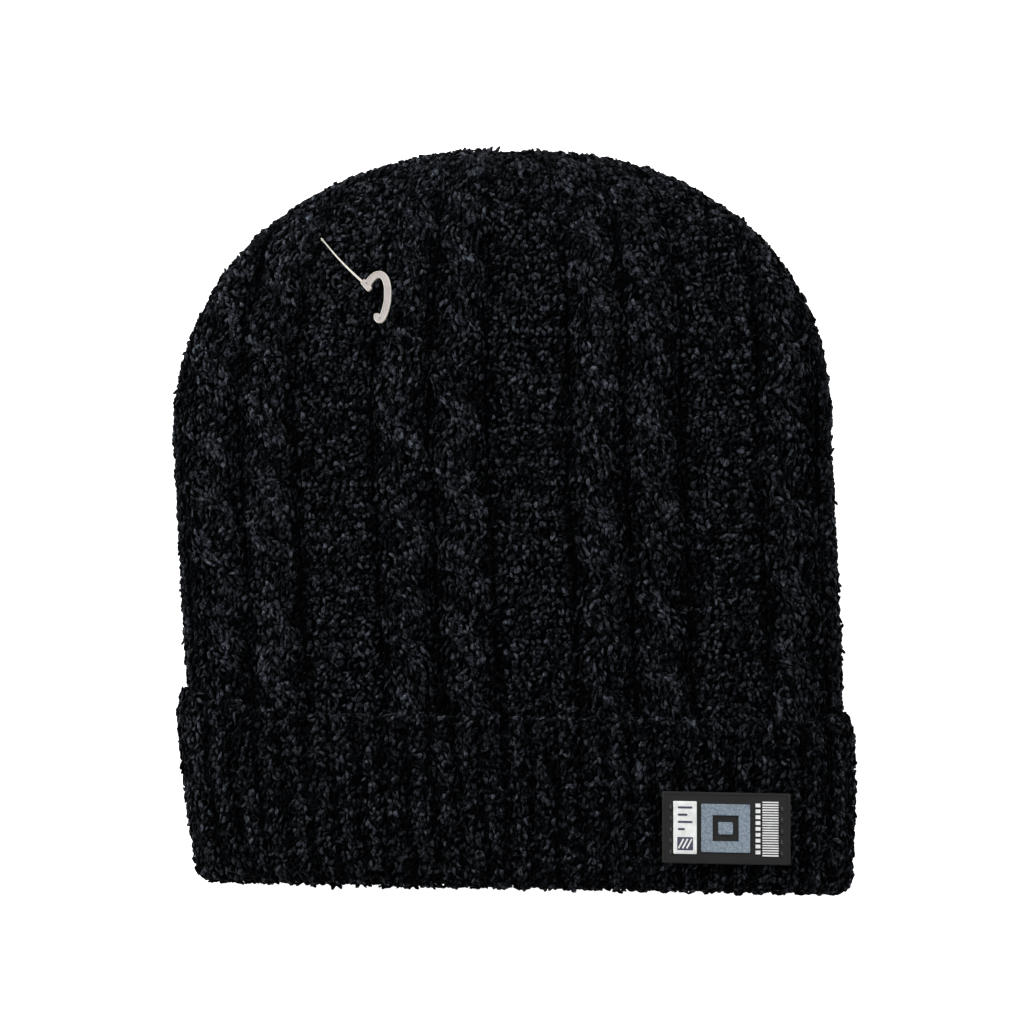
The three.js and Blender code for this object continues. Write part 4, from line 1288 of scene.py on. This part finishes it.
def nylon_finish():
    """Milky clear nylon: warm grey in its body, with a painted highlight whitening its thin moulded edges.
    """
    made, nodes, links = new_material("clear_nylon")
    shader = nodes["Principled BSDF"]
    cloud = noise_node(nodes, links, 300, 3)
    speckle = cloud.outputs["Fac"]
    # The lighter colour is a painted highlight along the bands' edges; pieces without the flat_face
    # attribute, the stems and cross bar, take it all over.
    edge = ramp_node(nodes, links, speckle, (0.3, (0.44, 0.42, 0.37)), (0.7, (0.56, 0.54, 0.48)))
    flat = ramp_node(nodes, links, speckle, (0.3, (0.25, 0.22, 0.21)), (0.7, (0.32, 0.28, 0.26)))
    face = nodes.new("ShaderNodeAttribute")
    face.attribute_name = "flat_face"
    mixed_colours(nodes, links, face.outputs["Fac"], edge, flat)

    bumped(nodes, links, speckle, 0.00008)
    shader.inputs["Roughness"].default_value = 0.38
    shader.inputs["Subsurface Weight"].default_value = 0.15
    shader.inputs["Subsurface Radius"].default_value = (0.001, 0.0008, 0.0006)
    return made


nylon = nylon_finish()


def smooth_line(corners, steps):
    """Even points along a smooth curve through corners."""
    corners = np.array(corners, float)
    padded = np.vstack([2 * corners[0] - corners[1], corners, 2 * corners[-1] - corners[-2]])
    points = []
    for i in range(1, len(padded) - 2):
        before, start, end, after = padded[i - 1 : i + 3]
        bend = 2 * before - 5 * start + 4 * end - after
        twist = 3 * start - before - 3 * end + after
        for t in np.linspace(0, 1, steps, endpoint=False):
            points.append(0.5 * (2 * start + (end - before) * t + bend * t**2 + twist * t**3))
    return np.vstack([points, corners[-1]])


def swept_band(name, line, width, section):
    """A flat band along a line in the pin's plane; section holds its outline as shares of width
    and heights, width holds its width at each point of the line."""
    direction = unit(np.gradient(line, axis=0))
    sideways = np.stack([-direction[:, 1], direction[:, 0]], -1)
    rings = len(line)
    sides = len(section)
    corners = []
    for place, side, wide in zip(line, sideways, width):
        for share, high in section:
            spot = place + side * share * wide / 2
            corners.append(pin_spot(spot[0], spot[1], STEM_HEIGHT + high))
    faces = []
    for ring in range(rings - 1):
        for i in range(sides):
            j = (i + 1) % sides
            here, onward = ring * sides, (ring + 1) * sides
            faces.append([here + i, here + j, onward + j, onward + i])
    faces.append(list(range(sides))[::-1])
    faces.append([(rings - 1) * sides + i for i in range(sides)])
    mesh = bpy.data.meshes.new(name)
    mesh.from_pydata([tuple(corner) for corner in corners], [], faces)
    flat_face = mesh.attributes.new("flat_face", "FLOAT", "POINT")
    # Marks the band's flat middle; the rest, its edges, gets the nylon's painted highlight.
    middle = [float(abs(share) < 0.75) for share, _ in section]
    flat_face.data.foreach_set("value", middle * rings)
    band = bpy.data.objects.new(name, mesh)
    bpy.context.collection.objects.link(band)
    bpy.context.view_layer.objects.active = band
    band.select_set(True)
    faces_turned_out()
    bpy.ops.object.shade_smooth_by_angle(angle=math.radians(30))
    bpy.ops.object.select_all(action="DESELECT")
    return band


hook_line = smooth_line([(STEM_LENGTH + a / 1000, l / 1000) for a, l in HOOK_LINE], 8)
hook_width = np.full(len(hook_line), HOOK_WIDTH)
hook_width[-10:] = HOOK_WIDTH * np.linspace(0.95, 0.7, 10)
hook_width[-2:] = HOOK_WIDTH * np.array([0.6, 0.35])
half_thick = HOOK_THICKNESS / 2
corner_high = 0.85 * half_thick
dished = 0.75 * half_thick
BAND_SECTION = [
    (1, 0), (0.96, corner_high), (0.84, half_thick), (0.66, dished), (-0.66, dished),
    (-0.84, half_thick), (-0.96, corner_high), (-1, 0), (-0.9, -half_thick), (0.9, -half_thick),
]
hook_band = swept_band("hook_band", hook_line, hook_width, BAND_SECTION)

COLLAR_LINE = [(-1.6, 0.05), (-1.3, 0.05), (0.4, 0.05), (2.0, -0.1), (2.4, -0.1)]
COLLAR_WIDTHS = [1.4, 1.9, 2.2, 1.9, 1.3]
collar_line = np.array(COLLAR_LINE) / 1000 + [STEM_LENGTH, 0]
collar = swept_band("hook_collar", collar_line, np.array(COLLAR_WIDTHS) / 1000, BAND_SECTION)

stem_spots = []
for along in np.linspace(-0.0004, STEM_LENGTH - 0.001, STEM_STEPS):
    sag = STEM_SAG * math.sin(along / STEM_LENGTH * math.pi)
    stem_spots.append(pin_spot(along, -sag, STEM_HEIGHT))
taper = np.linspace(0.45, 1.0, STEM_STEPS)
hook_stem = thread_through("hook_stem", np.array(stem_spots), STEM_RADIUS, False, taper)
for piece in (hook_band, collar, hook_stem):
    piece.data.materials.append(nylon)
    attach(piece, "tag_hook")
    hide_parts("tag_pin_hook")

bar_low, bar_high = (np.array(corner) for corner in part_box("tag_pin_anchor_bar"))
bar_depth = -float(np.dot(PIN_ORIGIN - (bar_low + bar_high) / 2, PIN_NORMAL)) * 2 + 0.0004
bar_spots = [pin_spot(0.0, left, bar_depth) for left in (-0.0045, -0.0043, 0.0043, 0.0045)]
cross_bar = thread_through("pin_cross_bar", np.array(bar_spots), 0.0009, False)
inner_heights = np.linspace(bar_depth, STEM_HEIGHT - 0.0006, 12)
inner_spots = [pin_spot(0.0, 0.0, high) for high in inner_heights]
inner_stem = thread_through("pin_inner_stem", np.array(inner_spots), STEM_RADIUS, False)
for piece in (cross_bar, inner_stem):
    piece.data.materials.append(nylon)
    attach(piece, "tag_pivot")
    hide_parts("tag_pin_anchor_bar")


# ---------------------------------------------------------------------------------------
# Studio: a pale floor under a camera straight overhead. The main light is above, a little to
# the crown's left, with a weak one opposite and low soft ones at the sides and the crown.

bpy.ops.mesh.primitive_plane_add(size=6, location=(0, 0, 0))
floor = bpy.context.object
floor.name = "floor"
floor_finish, floor_nodes, _ = new_material("floor")
floor_shader = floor_nodes["Principled BSDF"]
floor_shader.inputs["Base Color"].default_value = (0.9, 0.9, 0.9, 1)
floor_shader.inputs["Roughness"].default_value = 0.9
floor_shader.inputs["Emission Color"].default_value = (1, 1, 1, 1)
floor_shader.inputs["Emission Strength"].default_value = 1.0
floor.data.materials.append(floor_finish)

world = bpy.data.worlds.new("studio")
bpy.context.scene.world = world
world.use_nodes = True
backdrop = world.node_tree.nodes["Background"]
backdrop.inputs["Color"].default_value = (1, 1, 1, 1)
backdrop.inputs["Strength"].default_value = 0.15


def soft_light(name, place, size, power):
    """A square soft light at a place, turned to the middle of the hat."""
    bpy.ops.object.light_add(type="AREA", location=place)
    lamp = bpy.context.object
    lamp.name = name
    lamp.data.size = size
    lamp.data.energy = power
    direction = -np.array(place)
    lamp.rotation_euler = (
        math.atan2(math.hypot(direction[0], direction[1]), -direction[2]),
        0,
        math.atan2(direction[0], -direction[1]) + math.pi,
    )


soft_light("key_light", (-0.80, 0.70, 1.04), 0.5, 19)
soft_light("fill_light", (0.7, -0.3, 1.1), 0.9, 4)
soft_light("left_light", (-1.3, 0.1, 0.30), 0.8, 15)
soft_light("right_light", (1.3, 0.1, 0.30), 0.8, 8)
soft_light("crown_light", (0.0, 1.3, 0.35), 0.8, 9)

CAMERA_DISTANCE, VIEW_WIDTH, SENSOR_WIDTH = 5.0, 0.3277, 36
bpy.ops.object.camera_add(location=(-0.0013, 0.0035, CAMERA_DISTANCE + EDGE_HEIGHT), rotation=(0, 0, 0))
camera = bpy.context.object
camera.data.sensor_width = SENSOR_WIDTH
camera.data.lens = SENSOR_WIDTH * CAMERA_DISTANCE / VIEW_WIDTH
bpy.context.scene.camera = camera
bpy.context.scene.view_settings.view_transform = "Standard"
